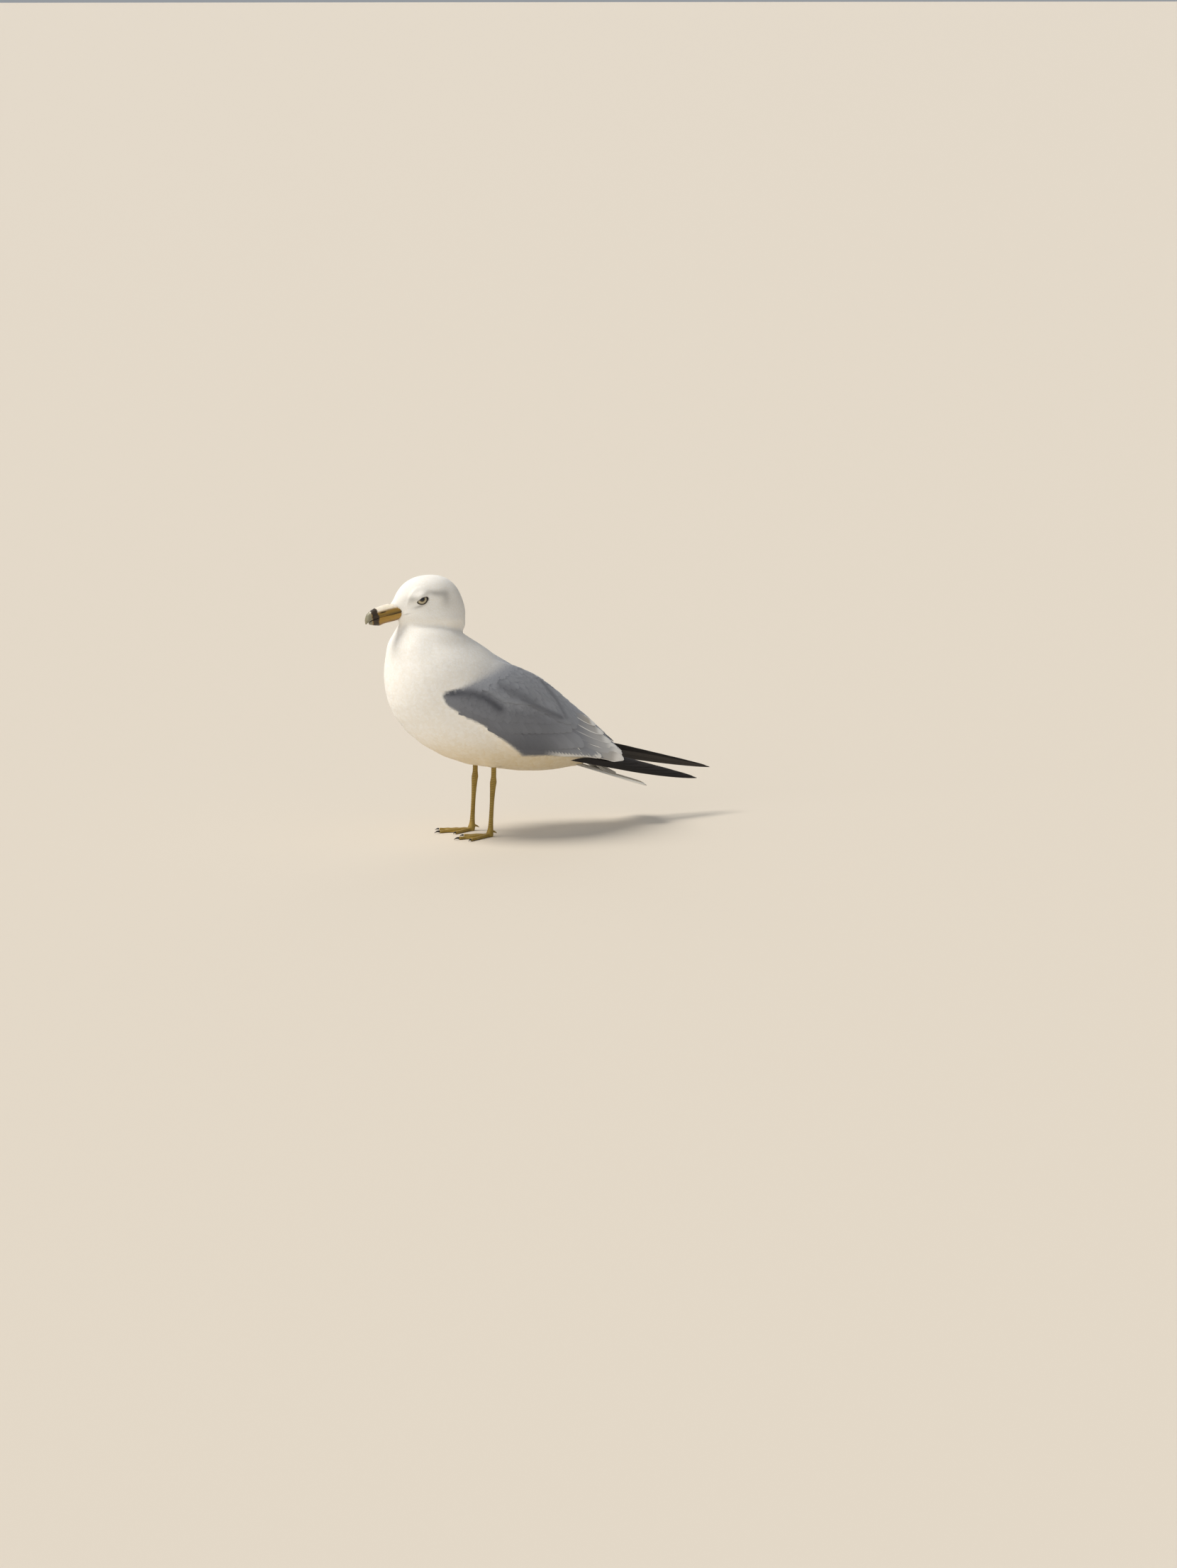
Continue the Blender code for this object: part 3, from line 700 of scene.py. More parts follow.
# the skin: one hide from the face to the toes
skin = {
    "voxel": 2.0,
    "clear": 0.4,  # how far it stays below the feathers' roots
    "thinnest": 3.2,  # what it leaves of thin parts, such as the wings' edges
    "shallowest": 0.1,
    "smoothRounds": 3,
    "lidSpan": (0.6, 1.0),  # the lids' dark rim fades between these distances
    "patch": 9,  # width of the legs' paler patches, mm
    "plate": 1.1,  # and of their small plates
    "down": "ece8df",
    "greyDown": "8f929b",
    "duskyDown": "77746d",
    "lid": "2e2621",
    "leg": "94792c",
    "legPatch": "a48a42",
    "legJoint": "644d18",
}


def makeSkin(whole, surface):
    hide = linked("skin", whole.data.copy())
    p, n = points(hide.data), normals(hide.data)
    depth = coatDepth(birdPoints(p)) + skin["clear"]
    for k in range(len(p)):
        start = Vector(p[k] - n[k] * 0.05 * mm)
        across = surface.tree.ray_cast(start, Vector(-n[k]))[3]
        if across is not None:
            depth[k] = min(depth[k], max(skin["shallowest"], (across / mm - skin["thinnest"]) / 2))
    setPoints(hide.data, p - n * depth[:, None] * mm)
    addRemesh(hide, skin["voxel"], skin["smoothRounds"])
    baked(hide)
    extras = [makeLeg(-1, "left"), makeLeg(1, "right"), makeLids(-1, "left"), makeLids(1, "right")]
    for extra in extras:
        addModifier(hide, "BOOLEAN", operation="UNION", solver="EXACT", object=extra)
    baked(hide)
    for extra in extras:
        bpy.data.objects.remove(extra)
    p = points(hide.data)
    bird = birdPoints(p)
    halfRoom, rear = legs["room"]
    isLeg = (1 - smooth(*legs["bareTo"], bird[:, 2])) * (abs(bird[:, 1]) < halfRoom) * (bird[:, 0] < rear)
    scutes = np.where(bird[:, 1] < 0, scuteDepths(bird, -1), scuteDepths(bird, 1)) * isLeg
    outside = np.minimum(eyePlaces(p, -1)[0], eyePlaces(p, 1)[0])
    store(
        hide.data, grey=greyAt(bird), smudge=smudgeAt(bird), leg=isLeg, scutes=scutes,
        lid=1 - smooth(*skin["lidSpan"], outside),
    )
    print("skin:", len(hide.data.polygons), "faces")
    return hide


def skinMaterial():
    # thin bare hide under down; on the legs horny scutes with darker joints between them
    material, shader = newMaterial("scalyHide", {"Roughness": 0.55, "IOR": 1.45})
    grey, smudge, leg, scutes, lid = (
        addNode(material, "Attribute", {}, 2, attribute_name=key)
        for key in ("grey", "smudge", "leg", "scutes", "lid")
    )
    where = addNode(material, "TexCoord", {}, "Object")
    clouds = {"Vector": where, "Scale": 1 / (skin["patch"] * mm), "Detail": 2.0}
    patches = addNode(material, "TexNoise", clouds)
    patches = addNode(material, "MapRange", {"Value": patches, 1: 0.35, 2: 0.7})
    cells = {"Vector": where, "Scale": 1 / (skin["plate"] * mm)}
    grains = addNode(material, "TexVoronoi", cells, feature="DISTANCE_TO_EDGE")
    joints = addNode(material, "MapRange", {"Value": grains, 1: 0.16, 2: 0.0, 4: 0.3})
    grooves = addNode(material, "Math", {0: scutes, 1: 0.75}, operation="MULTIPLY")
    hide = colour(skin["leg"])
    for share, tint in ((patches, "legPatch"), (grooves, "legJoint"), (joints, "legJoint")):
        hide = addNode(material, "Mix", {0: share, 6: hide, 7: colour(skin[tint])}, 2, **rgba)
    whole = colour(skin["down"])
    greyDown, duskyDown, darkLid = (colour(skin[key]) for key in ("greyDown", "duskyDown", "lid"))
    for share, tint in ((grey, greyDown), (smudge, duskyDown), (leg, hide), (lid, darkLid)):
        whole = addNode(material, "Mix", {0: share, 6: whole, 7: tint}, 2, **rgba)
    plates = addNode(material, "MapRange", {"Value": grains, 1: 0.0, 2: 0.18})
    plates = addNode(material, "Math", {0: plates, 1: leg}, operation="MULTIPLY")
    relief = addNode(material, "Bump", {"Height": plates, "Strength": 0.5, "Distance": 0.12 * mm})
    connect(material, shader, {"Base Color": whole, "Normal": relief})
    return material


# how the coat lies as combed: places on one side, mirrored to the other, and the feathers' way there
lie = {
    "reach": 24.0,  # how far each place is felt, mm
    "parting": (7, 1.1, 0.25),  # how far from an eye the feathers part, how strongly, and how much at least
    "headHalf": 6,  # those nearer the head's middle than this don't
    "places": [
        (-97, 0, 268, 0.7, 0, 0.7), (-88, 0, 280, 0.85, 0, 0.5), (-55, 0, 290, 1, 0, 0.02),
        (-22, 0, 280, 0.6, 0, -0.8), (-12, 0, 255, 0.1, 0, -1), (-9, 0, 232, 0.1, 0, -1),
        (5, 0, 212, 0.8, 0, -0.5), (-85, 20, 268, 1, 0.3, 0.15), (-60, 24, 272, 1, 0.1, -0.05),
        (-35, 24, 268, 0.9, 0, -0.45), (-88, 18, 250, 0.9, 0.3, -0.35), (-65, 25, 248, 0.75, 0.1, -0.7),
        (-30, 26, 245, 0.35, 0, -0.95), (-88, 0, 240, 0.5, 0, -0.85), (-86, 15, 230, 0.2, 0.1, -1),
        (-45, 33, 222, 0.15, 0.1, -1), (-97, 0, 205, -0.25, 0, -1), (-101, 0, 180, 0.02, 0, -1),
        (-95, 0, 150, 0.3, 0, -1), (-80, 25, 190, 0.1, 0.1, -1), (-85, 30, 150, 0.45, 0.1, -0.9),
        (-75, 0, 118, 0.8, 0, -0.7), (-40, 0, 93, 1, 0, -0.45), (-50, 45, 130, 0.75, 0, -0.65),
        (0, 0, 77, 1, 0, -0.2), (0, 45, 105, 0.9, 0, -0.4), (50, 0, 67, 1, 0, -0.05),
        (50, 35, 85, 1, 0, -0.25), (100, 0, 65, 1, 0, 0), (130, 0, 66, 1, 0, -0.15),
        (-45, 35, 195, 0.85, 0.1, -0.55), (-10, 30, 198, 0.9, 0, -0.45), (40, 0, 190, 0.85, 0, -0.5),
        (75, 0, 166, 0.8, 0, -0.6), (110, 0, 130, 0.75, 0, -0.66), (135, 0, 95, 0.8, 0, -0.6),
        (-20, 55, 155, 0.85, 0, -0.55), (40, 50, 120, 0.85, 0, -0.5), (90, 35, 110, 0.85, 0, -0.5),
        (150, 15, 85, 0.95, 0, -0.4),
    ],
}


def flowAt(spots, outs):
    table = np.array(lie["places"])
    table = np.concatenate([table, table * np.array([1, -1, 1, 1, -1, 1])])
    p = birdPoints(spots)
    flow = np.zeros_like(p)
    for row in table:
        nearness = np.exp(-((p - row[:3]) ** 2).sum(axis=1) / (2 * lie["reach"] ** 2)) + 1e-9
        flow += nearness[:, None] * row[3:]
    flow = unit(flow)
    wide, strong, least = lie["parting"]
    for side in (-1, 1):
        outside, _, _, u, v = eyePlaces(spots, side)
        _, across, lift, _ = eyeFrame(side)
        away = unit(u[:, None] * np.array(across) + v[:, None] * np.array(lift))
        near = (strong * np.clip(1 - outside / wide, 0, 1) ** 2)[:, None]
        head = (p[:, 1] * side > lie["headHalf"])[:, None]
        against = np.minimum((flow * away).sum(axis=1, keepdims=True), 0)
        flow = flow + (near * (least - against) * away) * head
    flow -= outs * (flow * outs).sum(axis=1, keepdims=True)
    return unit(flow)


def sparse(spots, spacing):
    # keeps spots that stand at least their own spacing apart
    cell = spacing.max()
    kept, grid = [], {}
    around = [(i, j, m) for i in (-1, 0, 1) for j in (-1, 0, 1) for m in (-1, 0, 1)]
    for k, (i, j, m) in enumerate(np.floor(spots / cell).astype(int).tolist()):
        near = [other for di, dj, dm in around for other in grid.get((i + di, j + dj, m + dm), ())]
        if near and (((spots[near] - spots[k]) ** 2).sum(axis=1) < spacing[k] ** 2).any():
            continue
        grid.setdefault((i, j, m), []).append(k)
        kept.append(k)
    return np.array(kept)


def vane(along, across, root, widest, turn, point=1.0, ragged=0.0, rachis=0.0):
    # a flat feather: u from root to tip, v from edge to edge. Its end is an arc of so many degrees,
    # ragged notches the tip, and rachis raises the middle
    bm = bmesh.new()
    bmesh.ops.create_grid(bm, x_segments=along, y_segments=across, size=0.5)
    shape = []
    for v in bm.verts:
        u, side = v.co.x + 0.5, v.co.y * 2
        late = max(0, (u - widest) / (1 - widest))
        angle = math.radians(turn) * late
        edge = widest + (1 - widest) * math.sin(angle) if late else u
        half = (root + (1 - root) * min(1, u / widest) ** 0.8) * math.cos(angle) ** point
        slip = ragged * (round((side + 1) / 2 * across) % 2) if u > 0.99 else 0
        ridge = rachis * max(0, 1 - abs(side) * across / 2)
        shape.append((u + (edge - u) * side * side - slip, side * half, u, side, ridge))
    bm.verts.index_update()
    quads = np.array([[v.index for v in f.verts] for f in bm.faces])
    bm.free()
    names = ("along", "across", "u", "v", "ridge")
    return {**dict(zip(names, np.array(shape).T)), "quads": quads}


def meshFromArrays(name, spots, quads, maps, values, outs=None):
    mesh = bpy.data.meshes.new(name)
    mesh.vertices.add(len(spots))
    mesh.vertices.foreach_set("co", spots.astype(np.float32).ravel())
    mesh.loops.add(quads.size)
    mesh.loops.foreach_set("vertex_index", quads.astype(np.int32).ravel())
    mesh.polygons.add(len(quads))
    mesh.polygons.foreach_set("loop_start", np.arange(0, quads.size, 4, dtype=np.int32))
    mesh.update(calc_edges=True)
    for title, uv in maps.items():
        layer = mesh.uv_layers.new(name=title)
        layer.uv.foreach_set("vector", uv[quads.ravel()].astype(np.float32).ravel())
    store(mesh, **values)
    if outs is not None:
        # shading follows the body more than each vane, which is what makes a coat look soft
        own = normals(mesh)
        own *= np.where((own * outs).sum(axis=1) < 0, -1, 1)[:, None]
        shading = unit(outs * coat["softness"] + own * (1 - coat["softness"]))
        for title in ("custom_normal", "lay"):
            layer = mesh.attributes.new(title, "FLOAT_VECTOR", "POINT")
            layer.data.foreach_set("vector", shading.astype(np.float32).ravel())
    return mesh


def copies(shape, count):
    # the quads and the vane map of so many feathers of one shape
    corners = len(shape["u"])
    quads = (shape["quads"][None] + (np.arange(count) * corners)[:, None, None]).reshape(-1, 4)
    return quads, np.stack([shape["u"], shape["v"] * 0.5 + 0.5], axis=1)


def tones(count, **given):
    # the plumage's attributes for so many feathers, none of each where it isn't given
    return {key: np.zeros(count) for key in ("own", "grey", "pale", "shade", "smudge")} | given


def unwrapAt(spots):
    # the body's own unwrap: along it from the bill to the tail, and round it
    p = birdPoints(spots)
    t = (p[:, 0] * 0.8 - p[:, 2] * 0.6 + 240) / 420
    hubX = np.interp(t, [0, 0.25, 0.5, 1], [-60, -50, -20, 150])
    hubZ = np.interp(t, [0, 0.25, 0.5, 1], [262, 230, 150, 70])
    away = (p[:, 0] - hubX) * 0.6 + (p[:, 2] - hubZ) * 0.8
    turn = np.arctan2(p[:, 1], away)
    unwrap = np.stack([t, turn], axis=1)
    low, high = unwrap.min(axis=0), unwrap.max(axis=0)
    return 0.005 + 0.99 * (unwrap - low) / (high - low)


shaftRise = 0.03  # height of a laid feather's shaft, as a share of its width
bakePatch = 0.003  # side of a laid feather in the map that the looks are baked to


def layFeathers(name, surface, tract, shape, cup=0.05, paler=0.0, stiff=0.0):
    # lays one vane at each root of a tract. Lengths are in millimetres: low is how deep the
    # root lies under the form, high how proud the tip stands
    roots, outs, flow = tract["roots"], tract["outs"], tract["flow"]
    keys = ("length", "width", "low", "high", "roll")
    length, width, low, high, roll = (np.asarray(tract[key]) for key in keys)
    count, corners = len(roots), len(shape["u"])
    side = np.cross(outs, flow)
    u, across = shape["u"], shape["across"]
    target = (
        roots[:, None]
        + flow[:, None] * (shape["along"][None, :] * length[:, None] * mm)[..., None]
        + side[:, None] * (across[None, :] * width[:, None] * mm / 2)[..., None]
    )
    spots, lifted = surface.nearest(target.reshape(-1, 3))
    rise = -low[:, None] * (1 - u[None, :]) ** 1.5 + high[:, None] * u[None, :] ** 1.6
    rise += (roll[:, None] * across[None, :] - cup * across[None, :] ** 2) * width[:, None] / 2
    rise += shape["ridge"][None, :] * width[:, None] * shaftRise
    markings = birdPoints(spots)
    # a stiff feather's end runs on straight instead of bending with the body
    hold = (np.broadcast_to(stiff, count)[:, None] * smooth(0.6, 0.95, u)[None, :]).reshape(-1, 1)
    faces = unit(lifted.reshape(count, corners, 3)[:, (u > 0.4) & (u < 0.7)].mean(axis=1))
    lifted = unit(lifted * (1 - hold) + np.repeat(faces, corners, axis=0) * hold)
    spots = spots * (1 - hold) + target.reshape(-1, 3) * hold + lifted * rise.reshape(-1)[:, None] * mm
    quads, vaneMap = copies(shape, count)
    patch = bakePatch * np.stack([u - 0.5, shape["v"] / 2], axis=1)
    maps = {
        "vane": np.tile(vaneMap, (count, 1)),
        "OFBake": (unwrapAt(roots)[:, None] + patch[None]).reshape(-1, 2),
    }
    values = {key: np.repeat(tract[key], corners) for key in ("own", "pale", "shade")}
    middles = birdPoints(roots + flow * (0.6 * length * mm)[:, None])
    tone = 0.35 * greyAt(middles)[:, None] + 0.65 * greyAt(markings).reshape(count, corners)
    tone = np.maximum(tone, tract["grey"][:, None]) * (1 - paler * smooth(0.35, 0.95, u))[None, :]
    values["grey"] = tone.ravel()
    # painted shade on the folded wing: its shadow lines and its darker lower part
    values["shade"] = np.maximum(values["shade"], capePaintedShade(markings) * values["grey"])
    values["smudge"] = smudgeAt(markings)
    return linked(name, meshFromArrays(name, spots, quads, maps, values, lifted))


# the feathers' white and grey, each with a second tone and a duller root, a deep grey for the painted shade
# on the folded wing, and the cream also for the belly's painted shade
plumage = {
    "barbs": (90.0, 60.0),  # radians along and across a vane: a wave each millimetre of a 14 mm feather
    "white": "f7f5f0",
    "creamAndBellyShade": "dccba8",
    "whiteRoot": "ece8df",
    "grey": "9fa2a9",
    "greyOther": "96999f",
    "greyRoot": "80838b",
    "greyPaintedShade": "54565d",
    "smudge": "6f6c66",
}


def vanePattern(material, lengthwise, crosswise):
    # place along the vane, distance from its shaft, and waves for the barbs that slant from it, drawn
    # several times as coarse as in life so that they show
    uv = addNode(material, "UVMap", {}, uv_map="vane")
    u, v = (addNode(material, "SeparateXYZ", {0: uv}, k) for k in (0, 1))
    edge = addNode(material, "Math", {0: v, 1: 0.5}, operation="SUBTRACT")
    edge = addNode(material, "Math", {0: edge}, operation="ABSOLUTE")
    slant = addNode(material, "Math", {0: u, 1: -lengthwise}, operation="MULTIPLY")
    slant = addNode(material, "Math", {0: edge, 1: crosswise, 2: slant}, operation="MULTIPLY_ADD")
    return u, edge, addNode(material, "Math", {0: slant}, operation="SINE")


def plumageMaterial(name, laid):
    # soft keratin barbs: matt with a faint sheen, and a fine grain slanting from the shaft
    down = {"Roughness": 0.85, "IOR": 1.5, "Specular IOR Level": 0.2}
    down |= {"Sheen Weight": 0.15, "Sheen Roughness": 0.5}
    material, shader = newMaterial(name, down)
    grey, smudge, own, pale, shade = (
        addNode(material, "Attribute", {}, 2, attribute_name=key)
        for key in ("grey", "smudge", "own", "pale", "shade")
    )
    u, edge, barbs = vanePattern(material, *plumage["barbs"])
    rooted = addNode(material, "MapRange", {"Value": u, 1: 0.9, 2: 0.0}, **softStep)
    tipped = addNode(material, "MapRange", {"Value": u, 1: 0.8, 2: 0.92}, **softStep)
    late = addNode(material, "MapRange", {"Value": u, 1: 0.3, 2: 0.6}, **softStep)
    fringe = addNode(material, "MapRange", {"Value": edge, 1: 0.38, 2: 0.46}, **softStep)
    fringe = addNode(material, "Math", {0: fringe, 1: late}, operation="MULTIPLY")
    tipped = addNode(material, "Math", {0: tipped, 1: fringe}, operation="MAXIMUM")
    tipped = addNode(material, "Math", {0: tipped, 1: pale}, operation="MULTIPLY")
    white, cape = colour(plumage["white"]), colour(plumage["grey"])
    for share, whiteTint, greyTint in ((own, "creamAndBellyShade", "greyOther"), (rooted, "whiteRoot", "greyRoot")):
        white = addNode(material, "Mix", {0: share, 6: white, 7: colour(plumage[whiteTint])}, 2, **rgba)
        cape = addNode(material, "Mix", {0: share, 6: cape, 7: colour(plumage[greyTint])}, 2, **rgba)
    # the shade attribute mixes in the deep grey: painted shade on the folded wing
    base, deep, tip, dusky = white, *(colour(plumage[key]) for key in ("greyPaintedShade", "white", "smudge"))
    for share, tint in ((grey, cape), (shade, deep), (tipped, tip), (smudge, dusky)):
        base = addNode(material, "Mix", {0: share, 6: base, 7: tint}, 2, **rgba)
    grain = {"Height": barbs, "Strength": 0.12, "Distance": 0.1 * mm}
    if laid:
        grain["Normal"] = addNode(material, "Attribute", {}, 1, attribute_name="lay")
    relief = addNode(material, "Bump", grain)
    connect(material, shader, {"Base Color": base, "Normal": relief})
    return material


coat = {
    "candidates": 900000,
    "closeness": 0.13,  # spacing as a share of the feather's length
    "widths": (0.42, 0.52),  # as shares of the length
    "lengths": (0.85, 1.15),  # chance in the length
    "sway": 0.08,
    "softness": 0.93,  # how far the shading follows the body instead of each vane
    "roots": ([2.5, 5, 10, 22], [0.22, 0.28, 0.42, 0.6]),  # depth of the root for a feather of that length
    "tips": ([2.5, 5, 10, 22], [0.015, 0.02, 0.03, 0.05]),  # how proud the tip stands
    "billBase": (-97, 0, 256),  # lengths and depths on the head go by the distance from here,
    "headPlaces": [0, 12, 35, 75, 110],
    "headLengths": [2.6, 3.4, 5.0, 7.4, 9.5],
    "headDepths": [0.5, 0.8, 1.1, 1.5, 1.9],
    "bodyLengths": ([60, 110, 170, 215, 245], [19, 17, 14, 10.5, 8.5]),  # and on the body by the height
    "bodyDepths": ([60, 100, 200, 245], [2.6, 3.0, 2.6, 1.9]),
    "headFrom": (205, 240),
    "fromHorn": (0.2, 0.7),  # roots reach this far past the feathers' edge, or keep this far off the horn
    "besideEye": 8,  # a feather nearer the head's middle than this isn't near an eye, mm
    "shortest": 0.62,  # share of its length at an eye's rim, rising to all of it this far off
    "shortWithin": 7,
    "offEye": (0.5, 0.3),  # how far its root and its tip stay off the rim
    "ends": (112, 150),  # behind the first only white feathers are kept, behind the second none
    "bellyShadeBelow": (140, 80),  # the belly is painted warmer and darker between these heights: painted shade, warm as light thrown up from the ground
    "zones": {  # one piece for each side of each, by height
        "crown": (268, 400), "face": (248, 268), "cheek": (228, 248),
        "neck": (190, 228), "breast": (130, 190), "belly": (0, 130),
    },
}


def headAndBody(p, onHead, onBody):
    fromBill = np.linalg.norm(p - np.array(coat["billBase"]), axis=1)
    share = smooth(*coat["headFrom"], p[:, 2])
    return onBody * (1 - share) + np.interp(fromBill, coat["headPlaces"], onHead) * share


def coatDepth(p):
    # how deep the feathers' roots lie below the form, in millimetres
    return headAndBody(p, coat["headDepths"], np.interp(p[:, 2], *coat["bodyDepths"]))


def lengthAt(p):
    # contour feathers grow from under 3 mm at the bill to 19 mm under the tail
    return headAndBody(p, coat["headLengths"], np.interp(p[:, 2] - 0.25 * p[:, 0], *coat["bodyLengths"]))


def underWing(p):
    # the area that the mantle's and the wings' own feathers cover
    x, z = p[:, 0], p[:, 2]
    edge = np.interp(x, marks["capeEdgePlaces"], marks["capeEdgeHeights"])
    return (greyAt(p) > 0.88) & (z > edge + 5) & (x > -50)


def makeContourCoat(surface):
    roots, outs = surface.scatter(coat["candidates"], lambda p: 1 / lengthAt(p) ** 2)
    p = birdPoints(roots)
    length = lengthAt(p)
    horn = BVHTree.FromBMesh(nodeCopy(["bill_upper", "bill_lower"]))
    fromHorn = np.array([horn.find_nearest(spot, 3 * mm)[3] or 3 * mm for spot in roots.tolist()])
    ahead, off = coat["fromHorn"]
    whiteOnly, rear = coat["ends"]
    keep = ~underWing(p) & ((bareHorn(roots) < ahead) | (fromHorn > off * mm)) & (p[:, 0] < rear)
    keep &= (p[:, 0] < whiteOnly) | (greyAt(p) < 0.3)
    roots, outs, length = roots[keep], outs[keep], length[keep]
    kept = sparse(roots, length * coat["closeness"] * mm)
    roots, outs, length = roots[kept], outs[kept], length[kept]
    flow = flowAt(roots, outs)
    flow = unit(flow + np.cross(outs, flow) * random.normal(0, coat["sway"], len(roots))[:, None])
    length = length * random.uniform(*coat["lengths"], len(roots))
    clear = np.ones(len(roots), dtype=bool)  # of the eyes, near which the feathers are shorter
    short, (rootOff, tipOff) = coat["shortest"], coat["offEye"]
    for side in (-1, 1):
        faraway = birdPoints(roots)[:, 1] * side < coat["besideEye"]
        outside = eyePlaces(roots, side)[0]
        shorter = short + (1 - short) * smooth(0, coat["shortWithin"], outside)
        length = length * np.where(faraway, 1, shorter)
        for share in (0, 0.35, 0.7, 1.0):
            outside = eyePlaces(roots + flow * (share * length * mm)[:, None], side)[0]
            clear &= (outside > rootOff + (tipOff - rootOff) * share) | faraway
    roots, outs, flow, length = roots[clear], outs[clear], flow[clear], length[clear]
    p, count = birdPoints(roots), len(roots)
    # painted shade low on the belly, warm as light thrown up from the ground, carried in each feather's own
    # tone
    bellyShade = smooth(*coat["bellyShadeBelow"], p[:, 2]) * smooth(-95, -60, p[:, 0])
    tract = {
        "roots": roots,
        "outs": outs,
        "flow": flow,
        "length": length,
        "width": length * random.uniform(*coat["widths"], count) * (1 - 0.3 * smooth(190, 240, p[:, 2])),
        "low": np.minimum(coatDepth(p), np.interp(length, *coat["roots"])),
        "high": np.interp(length, *coat["tips"]) * random.uniform(0.2, 1.8, count),
        "roll": random.normal(0, 0.02, count),
        "own": 0.2 * random.random(count) + 0.8 * bellyShade,
        "grey": np.zeros(count),
        "pale": np.zeros(count),
        "shade": np.zeros(count),
    }
    shape = vane(5, 4, root=0.6, widest=0.45, turn=68, ragged=0.05)
    print("contour feathers:", count)
    for zone, (low, high) in coat["zones"].items():
        for half, onIt in (("left", p[:, 1] < 0), ("right", p[:, 1] >= 0)):
            chosen = (p[:, 2] > low) & (p[:, 2] <= high) & onIt
            part = {key: value[chosen] for key, value in tract.items()}
            piece = layFeathers(f"coat_{zone}_{half}", surface, part, shape)
            finish(piece, plumageSoft, "white_feathers")
            print(piece.name, len(piece.data.polygons) * 2, "triangles")


# the cape: mantle, scapulars and the folded wings' own feathers, in millimetres
cape = {
    "axis": ((-60, 165), (185, 72)),  # the feather rows ring this line, x and z
    "jitter": (0.3, 0.5),  # chance in a feather's place, as shares of the column and of the row
    "sway": 0.05,
    "lengths": (0.9, 1.1),  # chance in the length
    "growth": (-50, 70),  # the lengths grow between these places
    "slightest": 0.62,  # share of its length of a feather where the grey ends
    "radii": ([0, 60, 150, 262], [50, 58, 45, 14]),  # distance along it and how far out the body reaches
    "outside": 150,
    "mantleEnd": ([110, 125, 140, 160], [96, 106, 116, 118]),  # over the tertials: heights and places,
    "ridgeHalf": 14,  # but it runs on along the ridge this far to each side
    "ridgeRoots": ([100, 125], [0.9, 0.3]),  # its roots rise there
    "lesserEdge": ([-66, -54, -33, -10, 20, 50], [172, 155, 146, 140, 132, 126]),
    # degrees round the body, distance between rows and in a row, lengths from front to rear, width as a share
    # of the length, first and last place, depth under the form at the root and height at the tip
    "mantle": {
        "turns": (2, 46), "row": 4.6, "column": 5.0, "length": (14, 20),
        "width": 0.5, "from": -75, "to": 160, "low": 0.9, "high": 0.03,
    },
    "scapulars": {
        "turns": (38, 100), "row": 6.4, "column": 7.0, "length": (18, 28),
        "width": 0.46, "from": -70, "to": 96, "low": 1.0, "high": 0.0,
    },
    "lesser": {
        "turns": (66, 132), "row": 4.4, "column": 5.0, "length": (11, 15),
        "width": 0.54, "from": -72, "to": 50, "low": 1.1, "high": -0.25,
    },
}
wingRows = [
    # how many, roots and tips as x, z, width, depth under the form at root and height at tip, white tips
    (25, [(22, 124), (60, 112), (122, 100)], [(46, 93.5), (88, 85.5), (162, 70.5)], 14, 2.6, 0.55, 1.0),
    (17, [(-34, 152), (14, 130), (80, 128)], [(4, 116), (48, 97), (122, 92)], 16, 2.8, 0.7, 0.0),
    (17, [(-54, 168), (-20, 150), (66, 140)], [(-36, 141), (12, 118), (106, 111)], 14.5, 2.4, 0.1, 0.0),
    (15, [(-57, 174), (-25, 162), (58, 146)], [(-46, 154), (-6, 134), (84, 122)], 13, 2.2, -0.1, 0.0),
]
tertials = {
    "places": [  # tip x, z and root x, z, from the outermost and longest inwards
        (183.5, 71.5, 86, 105), (180, 77.5, 85, 113), (174, 84.5, 85, 121),
        (167, 92, 86, 129), (158, 101, 88, 137), (148, 111, 91, 145),
    ],
    "width": 17,
    "slimmer": 0.8,  # from each to the next, as higher and softer
    "low": 1.6,
    "high": 0.2,
    "higher": 0.28,
    "rightOver": 0.14,  # the right wing's lie this much over the left one's
    "stiff": 1.1,  # at 1 a feather ends straight instead of bending with the body
    "softer": 0.45,
}
scapularRow = {  # the lowest scapulars, whose tips make the edge over the wing
    "places": [-60, -47, -13, 15, 53, 85, 103, 125],
    "heights": [179, 178, 170, 153, 146, 131, 121, 112],
    "count": 26,
    "from": -8,
    "to": 106,
    "lengths": (18, 40),  # from front to rear, as the widths
    "widths": (7, 11.5),
    "slant": (0.93, -0.37),  # the way they point, as x and z
    "rootRise": 3.0,
}


def fromLine(x, z, line):
    # distance to a line of points
    nearest = np.full(len(x), 1e9)
    for (ax, az), (bx, bz) in zip(line, line[1:]):
        dx, dz = bx - ax, bz - az
        share = np.clip(((x - ax) * dx + (z - az) * dz) / (dx**2 + dz**2), 0, 1)
        nearest = np.minimum(nearest, np.hypot(x - ax - share * dx, z - az - share * dz))
    return nearest


def capePaintedShade(p):
    # painted shade: soft dark shadow lines where the folded wing's groups of feathers overlap, and a lower
    # wing painted darker as in shade
    total = np.zeros(len(p))
    for strength, wide, line in marks["streaks"]:
        total = np.maximum(total, strength * hump(fromLine(p[:, 0], p[:, 2], line), 0, wide))
    below = scapularEdge(p[:, 0]) - p[:, 2]
    lowerWingShading = sum(strength * smooth(start, full, below) for strength, start, full in marks["lowerWingShade"])
    total += lowerWingShading * smooth(*marks["lowerWingShadeEnds"], p[:, 0])
    return np.clip(total, 0, 1)


def scapularEdge(x):
    return np.interp(x, scapularRow["places"], scapularRow["heights"])


def alongLine(line, shares):
    line = np.array(line, dtype=float)
    steps = np.concatenate([[0], np.cumsum(np.linalg.norm(np.diff(line, axis=0), axis=1))])
    return np.stack([np.interp(shares * steps[-1], steps, line[:, k]) for k in range(line.shape[1])], axis=1)


